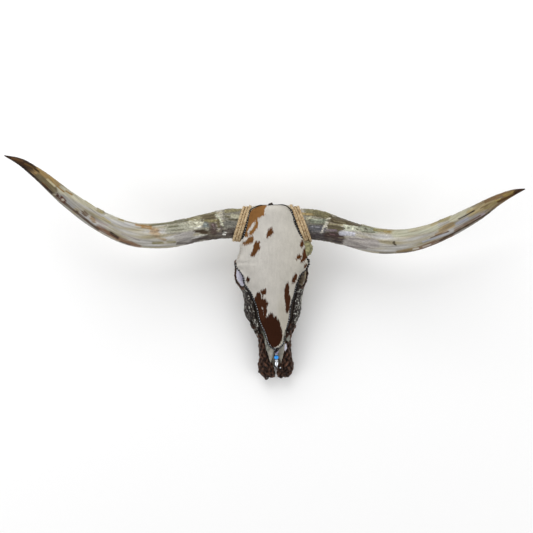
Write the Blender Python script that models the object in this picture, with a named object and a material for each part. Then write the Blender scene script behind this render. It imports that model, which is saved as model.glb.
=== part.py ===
"""A longhorn steer's skull, dressed with hide, leather, rope and beads.

Metres, +Z up. The skull lies face up on its cheek teeth and on the two bony
processes beside the neck joint. The poll points to +Y and the nose to -Y.
Left is -X and right is +X, as someone sees them who looks down on the face
with the nose towards them. The origin is at the centre of the whole thing's
box, on the floor.
"""
import math

import bmesh
import bpy
import numpy as np
from mathutils import Matrix, Vector
from mathutils.bvhtree import BVHTree

# The skull's own origin is the middle of the poll, straight above the floor.
POLL = Vector((0.0165, 0.1892, 0.0))

GAP = 0.0003            # air between two pieces that touch
FLAT_ENOUGH = math.radians(1.0)
LEAST_LEFT = 0.15       # a cut that leaves less of a piece than this has failed
WELD = 5e-6             # points nearer than this are one
MUZZLE_LEAN = 0.0045    # how far the muzzle's middle line stands to the right
LEAN_START = -0.365
LEAN_RUN = 0.060

# Braincase, brow and face, one row for each place along the head:
# y, half width, top, height of the widest place, bottom, how square the
# upper and the lower half of the section are (2 is an ellipse), and how far
# the section stands to the right.
HEAD = (
    (0.000, 0.054, 0.178, 0.152, 0.118, 2.5, 2.4, 0.0),
    (-0.018, 0.079, 0.190, 0.155, 0.092, 2.5, 2.6, 0.0),
    (-0.060, 0.095, 0.197, 0.158, 0.074, 2.6, 3.0, 0.002),
    (-0.110, 0.096, 0.198, 0.160, 0.070, 2.8, 3.2, 0.006),
    (-0.150, 0.101, 0.195, 0.160, 0.070, 2.8, 3.2, 0.002),
    (-0.181, 0.111, 0.190, 0.158, 0.066, 2.6, 3.0, -0.002),
    (-0.210, 0.102, 0.184, 0.138, 0.055, 2.3, 2.8, -0.0045),
    (-0.238, 0.098, 0.176, 0.120, 0.040, 2.1, 2.8, -0.003),
    (-0.265, 0.089, 0.167, 0.095, 0.030, 1.9, 3.0, 0.0),
    (-0.300, 0.083, 0.155, 0.078, 0.027, 1.8, 3.2, 0.0),
    (-0.335, 0.079, 0.143, 0.070, 0.027, 1.8, 3.2, 0.0),
    (-0.365, 0.064, 0.133, 0.068, 0.028, 1.9, 3.0, 0.0),
    (-0.395, 0.047, 0.122, 0.064, 0.030, 2.0, 2.8, 0.0),
)
CRANIUM_SHARE = 0.037   # of the fine skin's triangles
HEAD_ROWS = 40
HEAD_SIDES = 44

# Horns, root to tip: x, y, height and radius of each station.
HORN_LEFT = (
    (-0.088, -0.054, 0.140, 0.0465),
    (-0.133, -0.052, 0.141, 0.0450),
    (-0.205, -0.061, 0.144, 0.0415),
    (-0.328, -0.084, 0.155, 0.0387),
    (-0.424, -0.078, 0.169, 0.0357),
    (-0.517, -0.037, 0.190, 0.0305),
    (-0.608, 0.030, 0.222, 0.0250),
    (-0.696, 0.109, 0.257, 0.0163),
    (-0.740, 0.141, 0.272, 0.0104),
    (-0.783, 0.159, 0.285, 0.0015),
)
HORN_RIGHT = (
    (0.088, -0.057, 0.140, 0.0465),
    (0.136, -0.062, 0.142, 0.0455),
    (0.209, -0.082, 0.147, 0.0405),
    (0.329, -0.116, 0.160, 0.0381),
    (0.425, -0.115, 0.176, 0.0348),
    (0.520, -0.086, 0.198, 0.0299),
    (0.612, -0.040, 0.228, 0.0245),
    (0.680, 0.000, 0.253, 0.0150),
    (0.725, 0.019, 0.270, 0.0079),
    (0.751, 0.026, 0.278, 0.0015),
)
HORN_RINGS = 26
HORN_SIDES = 14

ORBIT = Vector((0.0980, -0.210, 0.1375))    # middle of the eye socket's mouth
ORBIT_SHIFT = -0.0045                       # both sockets stand this far to the left
ORBIT_SIZE = Vector((0.042, 0.034, 0.034))  # depth and the mouth's half sizes
ORBIT_UP = math.radians(16)                 # how far the mouth looks up
ORBIT_AHEAD = math.radians(12)              # how far the mouth looks forward
RIM_BACK = 0.012                            # the rim's ring lies this far in
RIM_THICK = 0.0065

TOOTH_COUNT = 6
TOOTH_FIRST_Y = -0.222
TOOTH_SIZES = (0.027, 0.026, 0.024, 0.020, 0.018, 0.016)    # back to front
TOOTH_ROW_X = (0.052, 0.036)                                # back and front
TOOTH_WIDTH = (0.025, 0.018)
PALATE = 0.034

# The hide panel's edges, row by row: y, left x, right x.
HIDE_EDGE = (
    (-0.0075, -0.047, 0.045),
    (-0.0110, -0.056, 0.052),
    (-0.0190, -0.0615, 0.057),
    (-0.034, -0.066, 0.063),
    (-0.057, -0.071, 0.068),
    (-0.081, -0.078, 0.078),
    (-0.105, -0.0865, 0.090),
    (-0.126, -0.0905, 0.095),
    (-0.150, -0.0965, 0.099),
    (-0.168, -0.103, 0.104),
    (-0.181, -0.108, 0.107),
    (-0.194, -0.098, 0.100),
    (-0.209, -0.087, 0.084),
    (-0.236, -0.082, 0.071),
    (-0.262, -0.065, 0.064),
    (-0.286, -0.055, 0.059),
    (-0.314, -0.048, 0.054),
    (-0.345, -0.044, 0.050),
    (-0.368, -0.038, 0.046),
    (-0.392, -0.029, 0.038),
    (-0.412, -0.020, 0.032),
    (-0.427, -0.011, 0.024),
    (-0.435, -0.001, 0.011),
)
HIDE_THICK = 0.004
HIDE_SUNK = 0.012       # depth of the block that is cut back to the bone
LEAST_TOP = 0.080       # nothing that the hide lies on is lower
HIDE_ROWS = 26
HIDE_COLUMNS = 11
LACE_RADIUS = 0.0038
LACE_SIDES = 6
LACE_POINTS = 40
LACE_LIFT = 0.0046      # its middle line lies this far over the bone
LACE_OUT = 0.0044       # and this far outside the hide
END_GAP = 0.0002        # half the air where the two laces meet end to end
POLL_LACE_Y = -0.0030   # along the poll it lies on the bone's rear edge

ROPE_RADIUS = 0.0043
ROPE_LOOP = 0.0505      # least radius of a turn, to the middle of the rope
ROPE_MOST = 0.062       # nothing further out than this is wrapped
ROPE_SLACK = 0.0012     # between a turn's corners and what it wraps
ROPE_POINTS = 24
ROPE_SIDES = 6
ROPE_TILT = math.radians(19)
ROPE_LEFT_TURNS = 3
ROPE_RIGHT_TURNS = 3
ROPE_FIRST_X = 0.0815   # the turn next to the hide, at the top of the horn

CHEEK_THICK = 0.0035
CHEEK_ROWS = (-0.250, -0.266, -0.284, -0.303, -0.322, -0.341, -0.360, -0.382)
CHEEK_LOW_ANGLE = -46.0
CHEEK_SWELL = (0.0065, 0.0010)  # how far the leather bulges, left and right
CHEEK_SWELL_Y = -0.326
CHEEK_SWELL_RUN = 0.022
CHEEK_INSET = 0.007             # its upper edge lies this far outside the hide's

# Braided leather on each side of the muzzle:
# y, inner and outer distance from the middle line, lowest and highest.
WRAP = (
    (-0.375, 0.030, 0.0670, 0.022, 0.108),
    (-0.388, 0.026, 0.0605, 0.021, 0.106),
    (-0.404, 0.022, 0.0535, 0.020, 0.099),
    (-0.430, 0.020, 0.052, 0.017, 0.086),
    (-0.470, 0.018, 0.051, 0.015, 0.070),
    (-0.500, 0.009, 0.055, 0.014, 0.060),
    (-0.518, 0.004, 0.050, 0.014, 0.052),
    (-0.536, 0.005, 0.036, 0.019, 0.041),
)
WAIST = 0.0038          # the right one is slimmer by this along the nose bones
WAIST_Y = -0.428
WAIST_RUN = 0.034

NASAL_TIP_Y = -0.4945
NASAL = (
    # y, half width of both bones, half of the notch between them, top, depth
    (-0.350, 0.038, 0.000, 0.134, 0.020),
    (-0.392, 0.037, 0.000, 0.121, 0.014),
    (-0.425, 0.032, 0.000, 0.110, 0.010),
    (-0.450, 0.028, 0.003, 0.102, 0.008),
    (-0.472, 0.023, 0.009, 0.094, 0.006),
    (NASAL_TIP_Y, 0.0165, 0.0145, 0.085, 0.003),
)


def lean(y):
    """The muzzle's middle line, which leaves the head's at the cheeks."""
    return MUZZLE_LEAN * min(max((LEAN_START - y) / LEAN_RUN, 0.0), 1.0)


def through(stations, places):
    """Every column at the given places along the first, on a smooth curve."""
    table = np.array(stations, dtype=float)
    keys = table[:, 0]
    if keys[0] > keys[-1]:
        table = table[::-1]
        keys = table[:, 0]
    slopes = np.gradient(table, keys, axis=0)
    places = np.atleast_1d(places)
    index = np.clip(np.searchsorted(keys, places) - 1, 0, len(keys) - 2)
    step = keys[index + 1] - keys[index]
    t = ((places - keys[index]) / step)[:, None]
    step = step[:, None]
    first, last = table[index], table[index + 1]
    return ((2 * t**3 - 3 * t**2 + 1) * first + (t**3 - 2 * t**2 + t) * step * slopes[index]
            + (3 * t**2 - 2 * t**3) * last + (t**3 - t**2) * step * slopes[index + 1])


def along(points, count):
    """Points and radii evenly spaced along the smooth line through the given."""
    table = np.array(points, dtype=float)
    chords = np.linalg.norm(np.diff(table[:, :3], axis=0), axis=1)
    run = np.concatenate([[0.0], np.cumsum(chords)])
    rows = np.column_stack([run, table])
    return through(rows, np.linspace(0.0, run[-1], count))[:, 1:]


def head_shift(y):
    """How far to the right the head stands at y."""
    return through(HEAD, y)[0][7]


def head_point(y, angle, lift=0.0):
    """Point on the head's section at y; 0 degrees is +X and 90 is up."""
    _, width, top, edge, bottom, up, down, middle = through(HEAD, y)[0]
    turn = math.radians(angle)
    across, rise = math.cos(turn), math.sin(turn)
    power = 2 / (up if rise >= 0 else down)
    half = top + lift - edge if rise >= 0 else edge - bottom + lift
    x = math.copysign(abs(across) ** power, across) * (width + lift)
    return Vector((middle + x, y, edge + math.copysign(abs(rise) ** power, rise) * half))


def head_angle(y, x, lift=0.0):
    """The angle on the upper half of the section at y that lies at x."""
    row = through(HEAD, y)[0]
    share = min(abs(x - row[7]) / (row[1] + lift), 1.0)
    angle = math.degrees(math.acos(share ** (row[5] / 2)))
    return angle if x >= row[7] else 180 - angle


def made(name, verts, faces):
    """A mesh object of closed form, in triangles that face outwards."""
    mesh = bpy.data.meshes.new(name)
    mesh.from_pydata([tuple(v) for v in verts], [], faces)
    shape = bmesh.new()
    shape.from_mesh(mesh)
    bmesh.ops.recalc_face_normals(shape, faces=shape.faces)
    bmesh.ops.triangulate(shape, faces=shape.faces)
    shape.to_mesh(mesh)
    shape.free()
    thing = bpy.data.objects.new(name, mesh)
    bpy.context.scene.collection.objects.link(thing)
    return thing


def loft(name, rings):
    """A closed skin over rings of equally many points."""
    count = len(rings[0])
    verts = [point for ring in rings for point in ring]
    faces = [tuple(range(count)), tuple((len(rings) - 1) * count + k for k in range(count))]
    for row in range(len(rings) - 1):
        for k in range(count):
            a, b = row * count + k, row * count + (k + 1) % count
            faces.append((a, b, b + count, a + count))
    return made(name, verts, faces)


def slab(name, outer, inner):
    """A closed plate between two grids of points."""
    rows, columns = len(outer), len(outer[0])
    verts = [p for row in outer for p in row] + [p for row in inner for p in row]
    below = rows * columns
    faces = []
    for r in range(rows - 1):
        for c in range(columns - 1):
            a = r * columns + c
            quad = (a, a + 1, a + columns + 1, a + columns)
            faces.append(quad)
            faces.append(tuple(below + k for k in quad))
    border = [c for c in range(columns)]
    border += [r * columns + columns - 1 for r in range(1, rows)]
    border += [(rows - 1) * columns + c for c in range(columns - 2, -1, -1)]
    border += [r * columns for r in range(rows - 2, 0, -1)]
    for k, a in enumerate(border):
        b = border[(k + 1) % len(border)]
        faces.append((a, b, below + b, below + a))
    return made(name, verts, faces)


def tube(name, points, sides, flat=1.0, closed=False, up=Vector((0, 0, 1))):
    """A round bar along points that carry a radius; flat squeezes its height."""
    rings = []
    path = [Vector(p[:3]) for p in points]
    for k, point in enumerate(path):
        after = path[(k + 1) % len(path)] if closed or k < len(path) - 1 else point
        before = path[k - 1] if closed or k > 0 else point
        ahead = (after - before).normalized()
        side = ahead.cross(up).normalized()
        rise = side.cross(ahead)
        radius = float(points[k][3])
        rings.append([point + radius * (math.cos(t) * side + flat * math.sin(t) * rise)
                      for t in (math.tau * s / sides for s in range(sides))])
    if not closed:
        return loft(name, rings)
    verts = [point for ring in rings for point in ring]
    faces = []
    for row in range(len(rings)):
        after = (row + 1) % len(rings)
        for s in range(sides):
            t = (s + 1) % sides
            faces.append((row * sides + s, row * sides + t, after * sides + t, after * sides + s))
    return made(name, verts, faces)


def ball(name, middle, size, turn=None, detail=2):
    """An ellipsoid with the given half sizes."""
    shape = bmesh.new()
    bmesh.ops.create_icosphere(shape, subdivisions=detail, radius=1.0)
    place = Matrix.Translation(middle) @ (turn or Matrix()) @ Matrix.Diagonal((*size, 1.0))
    bmesh.ops.transform(shape, matrix=place, verts=shape.verts)
    mesh = bpy.data.meshes.new(name)
    shape.to_mesh(mesh)
    shape.free()
    thing = bpy.data.objects.new(name, mesh)
    bpy.context.scene.collection.objects.link(thing)
    return thing


def settled(thing):
    """Give the object the mesh that its modifiers make of it."""
    bpy.context.view_layer.update()
    graph = bpy.context.evaluated_depsgraph_get()
    mesh = bpy.data.meshes.new_from_object(thing.evaluated_get(graph))
    thing.modifiers.clear()
    thing.data = mesh
    return thing


def joined(base, others, operation="UNION", solver="EXACT"):
    """One Boolean of the base with all the others, which are then removed."""
    group = bpy.data.collections.new("pieces")
    bpy.context.scene.collection.children.link(group)
    for other in others:
        bpy.context.scene.collection.objects.unlink(other)
        group.objects.link(other)
    merge = base.modifiers.new("merge", "BOOLEAN")
    merge.operation = operation
    merge.solver = solver
    merge.operand_type = "COLLECTION"
    merge.collection = group
    settled(base)
    for other in others:
        bpy.data.objects.remove(other)
    bpy.data.collections.remove(group)
    return base


def largest(thing):
    """Keep the largest closed surface of the mesh."""
    shape = bmesh.new()
    shape.from_mesh(thing.data)
    bmesh.ops.remove_doubles(shape, verts=shape.verts, dist=WELD)
    groups = []
    for first in shape.verts:
        if first.tag:
            continue
        first.tag = True
        group = [first]
        for vert in group:
            for edge in vert.link_edges:
                other = edge.other_vert(vert)
                if not other.tag:
                    other.tag = True
                    group.append(other)
        groups.append(group)
    groups.sort(key=len)
    for group in groups[:-1]:
        bmesh.ops.delete(shape, geom=group, context="VERTS")
    bmesh.ops.dissolve_degenerate(shape, dist=WELD, edges=shape.edges)
    bmesh.ops.triangulate(shape, faces=shape.faces)
    shape.to_mesh(thing.data)
    shape.free()
    return thing


def is_closed(mesh):
    """Whether every edge of the mesh lies between exactly two faces."""
    shape = bmesh.new()
    shape.from_mesh(mesh)
    closed = all(len(edge.link_faces) == 2 for edge in shape.edges)
    shape.free()
    return closed


def thinned(thing, share):
    """Fewer triangles, about the given share, in a mesh that stays closed."""
    full = thing.data
    for attempt in range(8):
        thing.data = full
        thin = thing.modifiers.new("thin", "DECIMATE")
        thin.ratio = share * (1 + 0.02 * attempt)
        settled(thing)
        largest(thing)
        if is_closed(thing.data):
            break
    return thing


def relieved(thing):
    """Join triangles that lie in one plane, which a Boolean has cut up."""
    shape = bmesh.new()
    shape.from_mesh(thing.data)
    bmesh.ops.dissolve_limit(shape, angle_limit=FLAT_ENOUGH, verts=shape.verts, edges=shape.edges)
    bmesh.ops.triangulate(shape, faces=shape.faces)
    closed = all(len(edge.link_faces) == 2 for edge in shape.edges)
    if closed:
        shape.to_mesh(thing.data)
    shape.free()
    return thing


def surface_of(thing):
    """The object's faces, to be met by rays."""
    mesh = thing.data
    return BVHTree.FromPolygons([v.co for v in mesh.vertices],
                                [tuple(face.vertices) for face in mesh.polygons])


def swollen(thing, by=GAP):
    """A copy of the object that is thicker by the gap all over."""
    copy = bpy.data.objects.new("swollen " + thing.name, thing.data.copy())
    bpy.context.scene.collection.objects.link(copy)
    shape = bmesh.new()
    shape.from_mesh(copy.data)
    shape.normal_update()
    moved = [(vert, vert.normal * by) for vert in shape.verts]
    for vert, step in moved:
        vert.co += step
    shape.to_mesh(copy.data)
    shape.free()
    return copy


def volume_of(mesh):
    shape = bmesh.new()
    shape.from_mesh(mesh)
    volume = shape.calc_volume()
    shape.free()
    return volume


def meets(thing, other):
    """Whether the two surfaces cross when the other is thicker by the gap."""
    fat = swollen(other)
    crossing = surface_of(thing).overlap(surface_of(fat))
    bpy.data.objects.remove(fat)
    return bool(crossing)


def clear_of(thing, neighbours):
    """Cut the object back so that it touches its neighbours and no more."""
    for other in neighbours:
        if not meets(thing, other):
            continue
        whole = thing.data
        before = volume_of(whole)
        for solver in ("EXACT", "MANIFOLD"):
            thing.data = whole
            largest(joined(thing, [swollen(other)], "DIFFERENCE", solver))
            if is_closed(thing.data) and LEAST_LEFT * before < volume_of(thing.data) <= before:
                break
    return relieved(thing)


def both(maker):
    """The maker's piece for the left side and for the right side."""
    return [maker(-1), maker(1)]


def head_form():
    """The plain body of the head before anything is carved from it."""
    rings = []
    for y in np.linspace(HEAD[0][0], HEAD[-1][0], HEAD_ROWS):
        rings.append([head_point(y, 360 * k / HEAD_SIDES) for k in range(HEAD_SIDES)])
    return loft("cranium", rings)


def orbit_turn(side):
    """Turns an ellipsoid's X to look out and up, as the eye socket does."""
    up = Matrix.Rotation(-side * ORBIT_UP, 4, "Y")
    forward = Matrix.Rotation(-side * ORBIT_AHEAD, 4, "Z")
    return forward @ up


def orbit_middle(side):
    return Vector((side * ORBIT.x + ORBIT_SHIFT, ORBIT.y, ORBIT.z))


def orbit_rim_points(side, start, stop, count, reach=0.0, radius=RIM_THICK):
    """Points round the eye socket's mouth; 0 degrees is to the rear."""
    turn = orbit_turn(side)
    middle = orbit_middle(side)
    middle -= turn @ Vector((side * (RIM_BACK - reach), 0, 0))
    points = []
    for k in range(count):
        t = math.radians(start + (stop - start) * k / (count - 1))
        spot = turn @ Vector((0, (ORBIT_SIZE.y + reach + 0.003) * math.cos(t),
                              (ORBIT_SIZE.z + reach + 0.003) * math.sin(t)))
        points.append((*(middle + spot), radius))
    return points


def orbit_rim(side):
    points = orbit_rim_points(side, 0, 360 - 360 / 28, 28)
    return tube("rim", points, 8, closed=True, up=Vector((side, 0, 0.3)))


def orbit_hollow(side):
    return ball("orbit", orbit_middle(side), ORBIT_SIZE, orbit_turn(side), 4)


def temple_hollow(side):
    """The hollow behind the eye, under the brow's overhang."""
    return ball("temple", Vector((side * 0.120, -0.106, 0.116)), (0.060, 0.050, 0.041), None, 4)


def horn_neck(side):
    """The short bony stump that carries a horn."""
    stations = HORN_LEFT if side < 0 else HORN_RIGHT
    y, z, radius = stations[0][1:]
    points = [(side * x, y, z, radius * swell)
              for x, swell in ((0.030, 0.80), (0.060, 0.92), (0.080, 0.98), (0.0930, 0.975))]
    return tube("neck", points, 28)


def cheek_arch(side):
    """The bony arch from the cheek back to the jaw joint."""
    stations = ((0.093, -0.236, 0.100, 0.012), (0.097, -0.204, 0.098, 0.011),
                (0.097, -0.168, 0.096, 0.0095), (0.093, -0.138, 0.094, 0.0085),
                (0.084, -0.112, 0.096, 0.0090), (0.068, -0.094, 0.100, 0.012),
                (0.050, -0.080, 0.104, 0.014))
    points = along([(side * x + head_shift(y), y, z, r) for x, y, z, r in stations], 16)
    return tube("arch", points, 10, flat=1.15)


def brow_post(side):
    """The bar behind the eye that ties the brow to the arch."""
    stations = ((0.096, -0.170, 0.172, 0.010), (0.1035, -0.174, 0.150, 0.0085),
                (0.1025, -0.176, 0.120, 0.0085), (0.097, -0.176, 0.096, 0.010))
    points = along([(side * x + head_shift(y), y, z, r) for x, y, z, r in stations], 8)
    return tube("post", points, 10, up=Vector((0, 1, 0)))


def jaw_joint(side):
    return ball("joint", Vector((side * 0.073, -0.100, 0.088)), (0.024, 0.014, 0.010), None, 3)


def neck_joint(side):
    """A condyle, which the first neck bone turned on."""
    return ball("condyle", Vector((side * 0.027, -0.028, 0.074)), (0.017, 0.026, 0.023), None, 3)


def ear_bulb(side):
    return ball("bulla", Vector((side * 0.036, -0.092, 0.063)), (0.013, 0.020, 0.018), None, 3)


def face_lump(side):
    """The rough lump on the cheek above the tooth row."""
    return ball("tuber", Vector((side * 0.070, -0.306, 0.064)), (0.015, 0.030, 0.014), None, 3)


def tooth_ridge(side):
    """The swelling of the upper jaw that holds the tooth roots."""
    points = along([(side * 0.050, -0.205, 0.040, 0.014), (side * 0.049, -0.260, 0.036, 0.0165),
                    (side * 0.043, -0.310, 0.035, 0.0155), (side * 0.035, -0.362, 0.036, 0.010)], 12)
    return tube("alveoli", points, 12)


def throat_plate(side):
    """The thin upright plate beside the back of the nose passage."""
    outline = ((-0.228, 0.030), (-0.190, 0.026), (-0.172, 0.024), (-0.158, 0.052),
               (-0.152, 0.078), (-0.228, 0.078))
    rings = [[Vector((side * x, y, z)) for y, z in outline] for x in (0.019, 0.025)]
    return loft("pterygoid", rings)


def skull_base():
    """The bar of bone under the braincase."""
    points = along([(0, -0.035, 0.078, 0.022), (0, -0.070, 0.072, 0.020), (0, -0.110, 0.074, 0.017),
                    (0, -0.160, 0.080, 0.016), (0, -0.210, 0.090, 0.018)], 14)
    return tube("base", points, 12)


def nape():
    """The rear wall of the braincase with the crest that it hangs from."""
    return ball("nape", Vector((0, -0.052, 0.112)), (0.066, 0.044, 0.052), None, 3)


def nasal(side):
    """One nose bone, which runs out to a free point."""
    rings = []
    for row in through(NASAL, np.linspace(NASAL[0][0], NASAL[-1][0], 16)):
        y, half, notch, top, depth = row
        notch = max(notch, 0.0)
        inner, outer = notch - (0.004 if notch < 0.001 else 0.0), max(half, notch + 0.0012)
        middle, reach = (inner + outer) / 2, (outer - inner) / 2
        drop = 0.35 * depth
        ring = []
        for k in range(12):
            t = math.tau * k / 12
            x = middle + reach * math.cos(t)
            arch = -drop * (x / outer) ** 2
            ring.append(Vector((side * x + lean(y), y,
                                top - depth / 2 + arch + depth / 2 * math.sin(t))))
        rings.append(ring)
    return loft("nasal", rings)


def palate_tongue():
    """The thin floor of the nose opening, which narrows to the front."""
    rings = []
    for y, half, low, high in ((-0.370, 0.030, 0.028, 0.046), (-0.400, 0.026, 0.026, 0.040),
                               (-0.450, 0.022, 0.022, 0.034), (-0.490, 0.016, 0.020, 0.030),
                               (-0.503, 0.010, 0.021, 0.028)):
        rings.append([Vector((lean(y) + half * math.cos(t), y,
                              (low + high) / 2 + (high - low) / 2 * math.sin(t)))
                      for t in (math.tau * k / 14 for k in range(14))])
    return loft("palate", rings)


def temple_lump(place, size):
    """A lump of bare bone on the right temple, under the rope."""
    return ball("lump", Vector(place), size, None, 3)


def nose_passage():
    """The hollow of the nose, open at the front."""
    rows = ((-0.420, 0.036, 0.040, 0.112), (-0.385, 0.032, 0.044, 0.110),
            (-0.350, 0.026, 0.048, 0.106), (-0.318, 0.014, 0.058, 0.092))
    rings = []
    for y, half, low, high in rows:
        rings.append([Vector((lean(y) + half * math.cos(t), y,
                              (low + high) / 2 + (high - low) / 2 * math.sin(t)))
                      for t in (math.tau * k / 20 for k in range(20))])
    return loft("nose", rings)


def throat():
    """The rear mouth of the nose passage."""
    return ball("throat", Vector((0, -0.196, 0.046)), (0.019, 0.046, 0.024), None, 3)


def spinal_hole():
    points = [(0, y, z, 0.0165) for y, z in ((0.02, 0.094), (-0.02, 0.094), (-0.055, 0.096))]
    return tube("foramen", points, 20)


def tooth(side, number):
    """One cheek tooth: two crescent lobes on a flat worn crown at the floor."""
    y = TOOTH_FIRST_Y - sum(TOOTH_SIZES[:number]) - TOOTH_SIZES[number] / 2
    share = number / (TOOTH_COUNT - 1)
    x = TOOTH_ROW_X[0] + share * (TOOTH_ROW_X[1] - TOOTH_ROW_X[0])
    width = TOOTH_WIDTH[0] + share * (TOOTH_WIDTH[1] - TOOTH_WIDTH[0])
    length = TOOTH_SIZES[number] - 0.0016
    rings = []
    for z, swell in ((0.0, 0.93), (0.010, 1.0), (PALATE + 0.012, 0.94)):
        ring = []
        for k in range(12):
            t = math.tau * k / 12
            pinch = 1 - 0.16 * (math.cos(2 * t) < -0.99)
            across = math.copysign(abs(math.cos(t)) ** 0.6, math.cos(t)) * width / 2 * swell
            run = math.copysign(abs(math.sin(t)) ** 0.6, math.sin(t)) * length / 2 * swell
            ring.append(Vector((side * (x + 0.12 * z) + across * pinch, y + run, z)))
        rings.append(ring)
    return loft("tooth", rings)


def floor_process(side):
    """The prong beside the neck joint; its blunt end stands on the floor."""
    rings = []
    for z, y, x, along_y, across in ((0.0, -0.070, 0.044, 0.0065, 0.0050),
                                     (0.030, -0.068, 0.045, 0.0095, 0.0060),
                                     (0.060, -0.064, 0.046, 0.0140, 0.0085),
                                     (0.092, -0.060, 0.046, 0.0180, 0.0120)):
        rings.append([Vector((side * x + across * math.cos(t), y + along_y * math.sin(t), z))
                      for t in (math.tau * k / 10 for k in range(10))])
    return loft("process", rings)


def cranium():
    """The whole upper skull, one bone with its teeth."""
    skull = head_form()
    joined(skull, both(orbit_rim) + both(horn_neck) + [nape()])
    joined(skull, both(orbit_hollow) + both(temple_hollow) + [nose_passage(), throat()],
           "DIFFERENCE")
    bony = both(cheek_arch) + both(brow_post) + both(jaw_joint) + both(neck_joint)
    bony += both(ear_bulb) + both(face_lump) + both(tooth_ridge) + both(throat_plate)
    bony += both(nasal) + [skull_base(), palate_tongue()]
    bony += [temple_lump((0.101, -0.124, 0.164), (0.021, 0.015, 0.014)),
             temple_lump((0.103, -0.145, 0.161), (0.018, 0.013, 0.013)),
             temple_lump((0.111, -0.134, 0.151), (0.015, 0.016, 0.012))]
    joined(skull, bony)
    joined(skull, [spinal_hole()], "DIFFERENCE")
    largest(skull)
    skin = skull.modifiers.new("skin", "REMESH")
    skin.mode = "VOXEL"
    skin.voxel_size = 0.0030
    skin.use_smooth_shade = True
    soft = skull.modifiers.new("soft", "SMOOTH")
    soft.factor = 0.5
    soft.iterations = 4
    settled(skull)
    thinned(skull, CRANIUM_SHARE)
    grown = [tooth(side, number) for side in (-1, 1) for number in range(TOOTH_COUNT)]
    joined(skull, grown + both(floor_process))
    return largest(skull)


def horn(side, bone):
    """One horn sheath, from the stump to its tip."""
    stations = HORN_LEFT if side < 0 else HORN_RIGHT
    name = "horn_left" if side < 0 else "horn_right"
    sheath = tube(name, along(stations, HORN_RINGS), HORN_SIDES)
    return clear_of(sheath, [bone])


def hide_limits(y):
    _, left, right = through(HIDE_EDGE, y)[0]
    return left, right


def on_bone(tree, x, y, lift):
    """The point of the skull's upper side at x and y, raised by the lift."""
    expected = head_point(max(y, HEAD[-1][0]), head_angle(max(y, HEAD[-1][0]), x)).z
    spot, facing, _, _ = tree.ray_cast(Vector((x, y, 0.3)), Vector((0, 0, -1)))
    if spot is None or spot.z < LEAST_TOP or (y > HEAD[-1][0] and spot.z < expected - 0.015):
        spot = Vector((x, y, expected))
        facing = Vector((0, 0, 1))
    return Vector((x, y, spot.z + lift / max(facing.z, 0.6)))


def hide_x(y, share):
    """Across the hide at y: share runs from 0 at the left edge to 1."""
    left, right = hide_limits(y)
    first, last = head_angle(y, left), head_angle(y, right)
    if y < HEAD[-1][0]:
        return left + (right - left) * share
    return head_point(y, first + (last - first) * share).x


def hide_panel(bone, tree, ropes):
    """The hair-on cowhide over the brow and down the nose."""
    places = np.linspace(HIDE_EDGE[0][0], HIDE_EDGE[-1][0], HIDE_ROWS)
    shares = np.linspace(0, 1, HIDE_COLUMNS)
    outer = [[on_bone(tree, hide_x(y, s), y, HIDE_THICK) for s in shares] for y in places]
    inner = [[point - Vector((0, 0, HIDE_SUNK)) for point in row] for row in outer]
    return clear_of(slab("hide_panel", outer, inner), [bone] + ropes)


def edge_lace(side, bone, tree, hide, ropes):
    """The beaded lacing along one long edge, from the poll to the tip."""
    name = "edge_lacing_left" if side < 0 else "edge_lacing_right"
    column = 1 if side < 0 else 2
    route = [(side * x, POLL_LACE_Y) for x in (END_GAP, 0.022, 0.040)]
    route += [(row[column] + side * LACE_OUT, row[0]) for row in HIDE_EDGE[1:-1]]
    tip = HIDE_EDGE[-1]
    middle = (tip[1] + tip[2]) / 2
    route += [(middle + side * 0.0085, tip[0] - 0.0032), (middle + side * END_GAP, tip[0] - LACE_OUT)]
    points = along([(x, y, 0.0, LACE_RADIUS) for x, y in route], LACE_POINTS)
    heights = [on_bone(tree, x, y, LACE_LIFT).z for x, y, _, _ in points]
    eased = list(heights)
    for k in range(1, len(heights) - 1):
        eased[k] = max(heights[k], (heights[k - 1] + heights[k] + heights[k + 1]) / 3)
    points = [(x, y, z, radius) for (x, y, _, radius), z in zip(points, eased)]
    return clear_of(tube(name, points, LACE_SIDES), [bone, hide] + ropes)


def rope_turn(side, number, bone, sheath, trees):
    """One turn of rope round the root of a horn, drawn tight on what it wraps."""
    stations = HORN_LEFT if side < 0 else HORN_RIGHT
    name = "rope_left_" if side < 0 else "rope_right_"
    middle = Vector((side * (ROPE_FIRST_X + number * 2.06 * ROPE_RADIUS),
                     stations[0][1], stations[0][2]))
    across = Vector((side * math.sin(ROPE_TILT), -math.cos(ROPE_TILT), 0))
    spokes = [math.cos(t) * across + math.sin(t) * Vector((0, 0, 1))
              for t in (math.tau * k / ROPE_POINTS for k in range(ROPE_POINTS))]
    reach = []
    for spoke in spokes:
        hits = [tree.ray_cast(middle + spoke * ROPE_MOST, -spoke)[0] for tree in trees]
        found = [(spot - middle).length for spot in hits if spot is not None]
        reach.append(max(found + [ROPE_LOOP - ROPE_RADIUS]))
    tight = [max(reach[k - 1], reach[k], reach[(k + 1) % ROPE_POINTS])
             for k in range(ROPE_POINTS)]
    points = []
    for k, spoke in enumerate(spokes):
        away = (tight[k - 1] + 2 * tight[k] + tight[(k + 1) % ROPE_POINTS]) / 4
        points.append((*(middle + spoke * (away + ROPE_RADIUS + ROPE_SLACK)), ROPE_RADIUS))
    facing = across.cross(Vector((0, 0, 1)))
    turn = tube(name + str(number + 1), points, ROPE_SIDES, closed=True, up=facing)
    return clear_of(turn, [bone, sheath])


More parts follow.
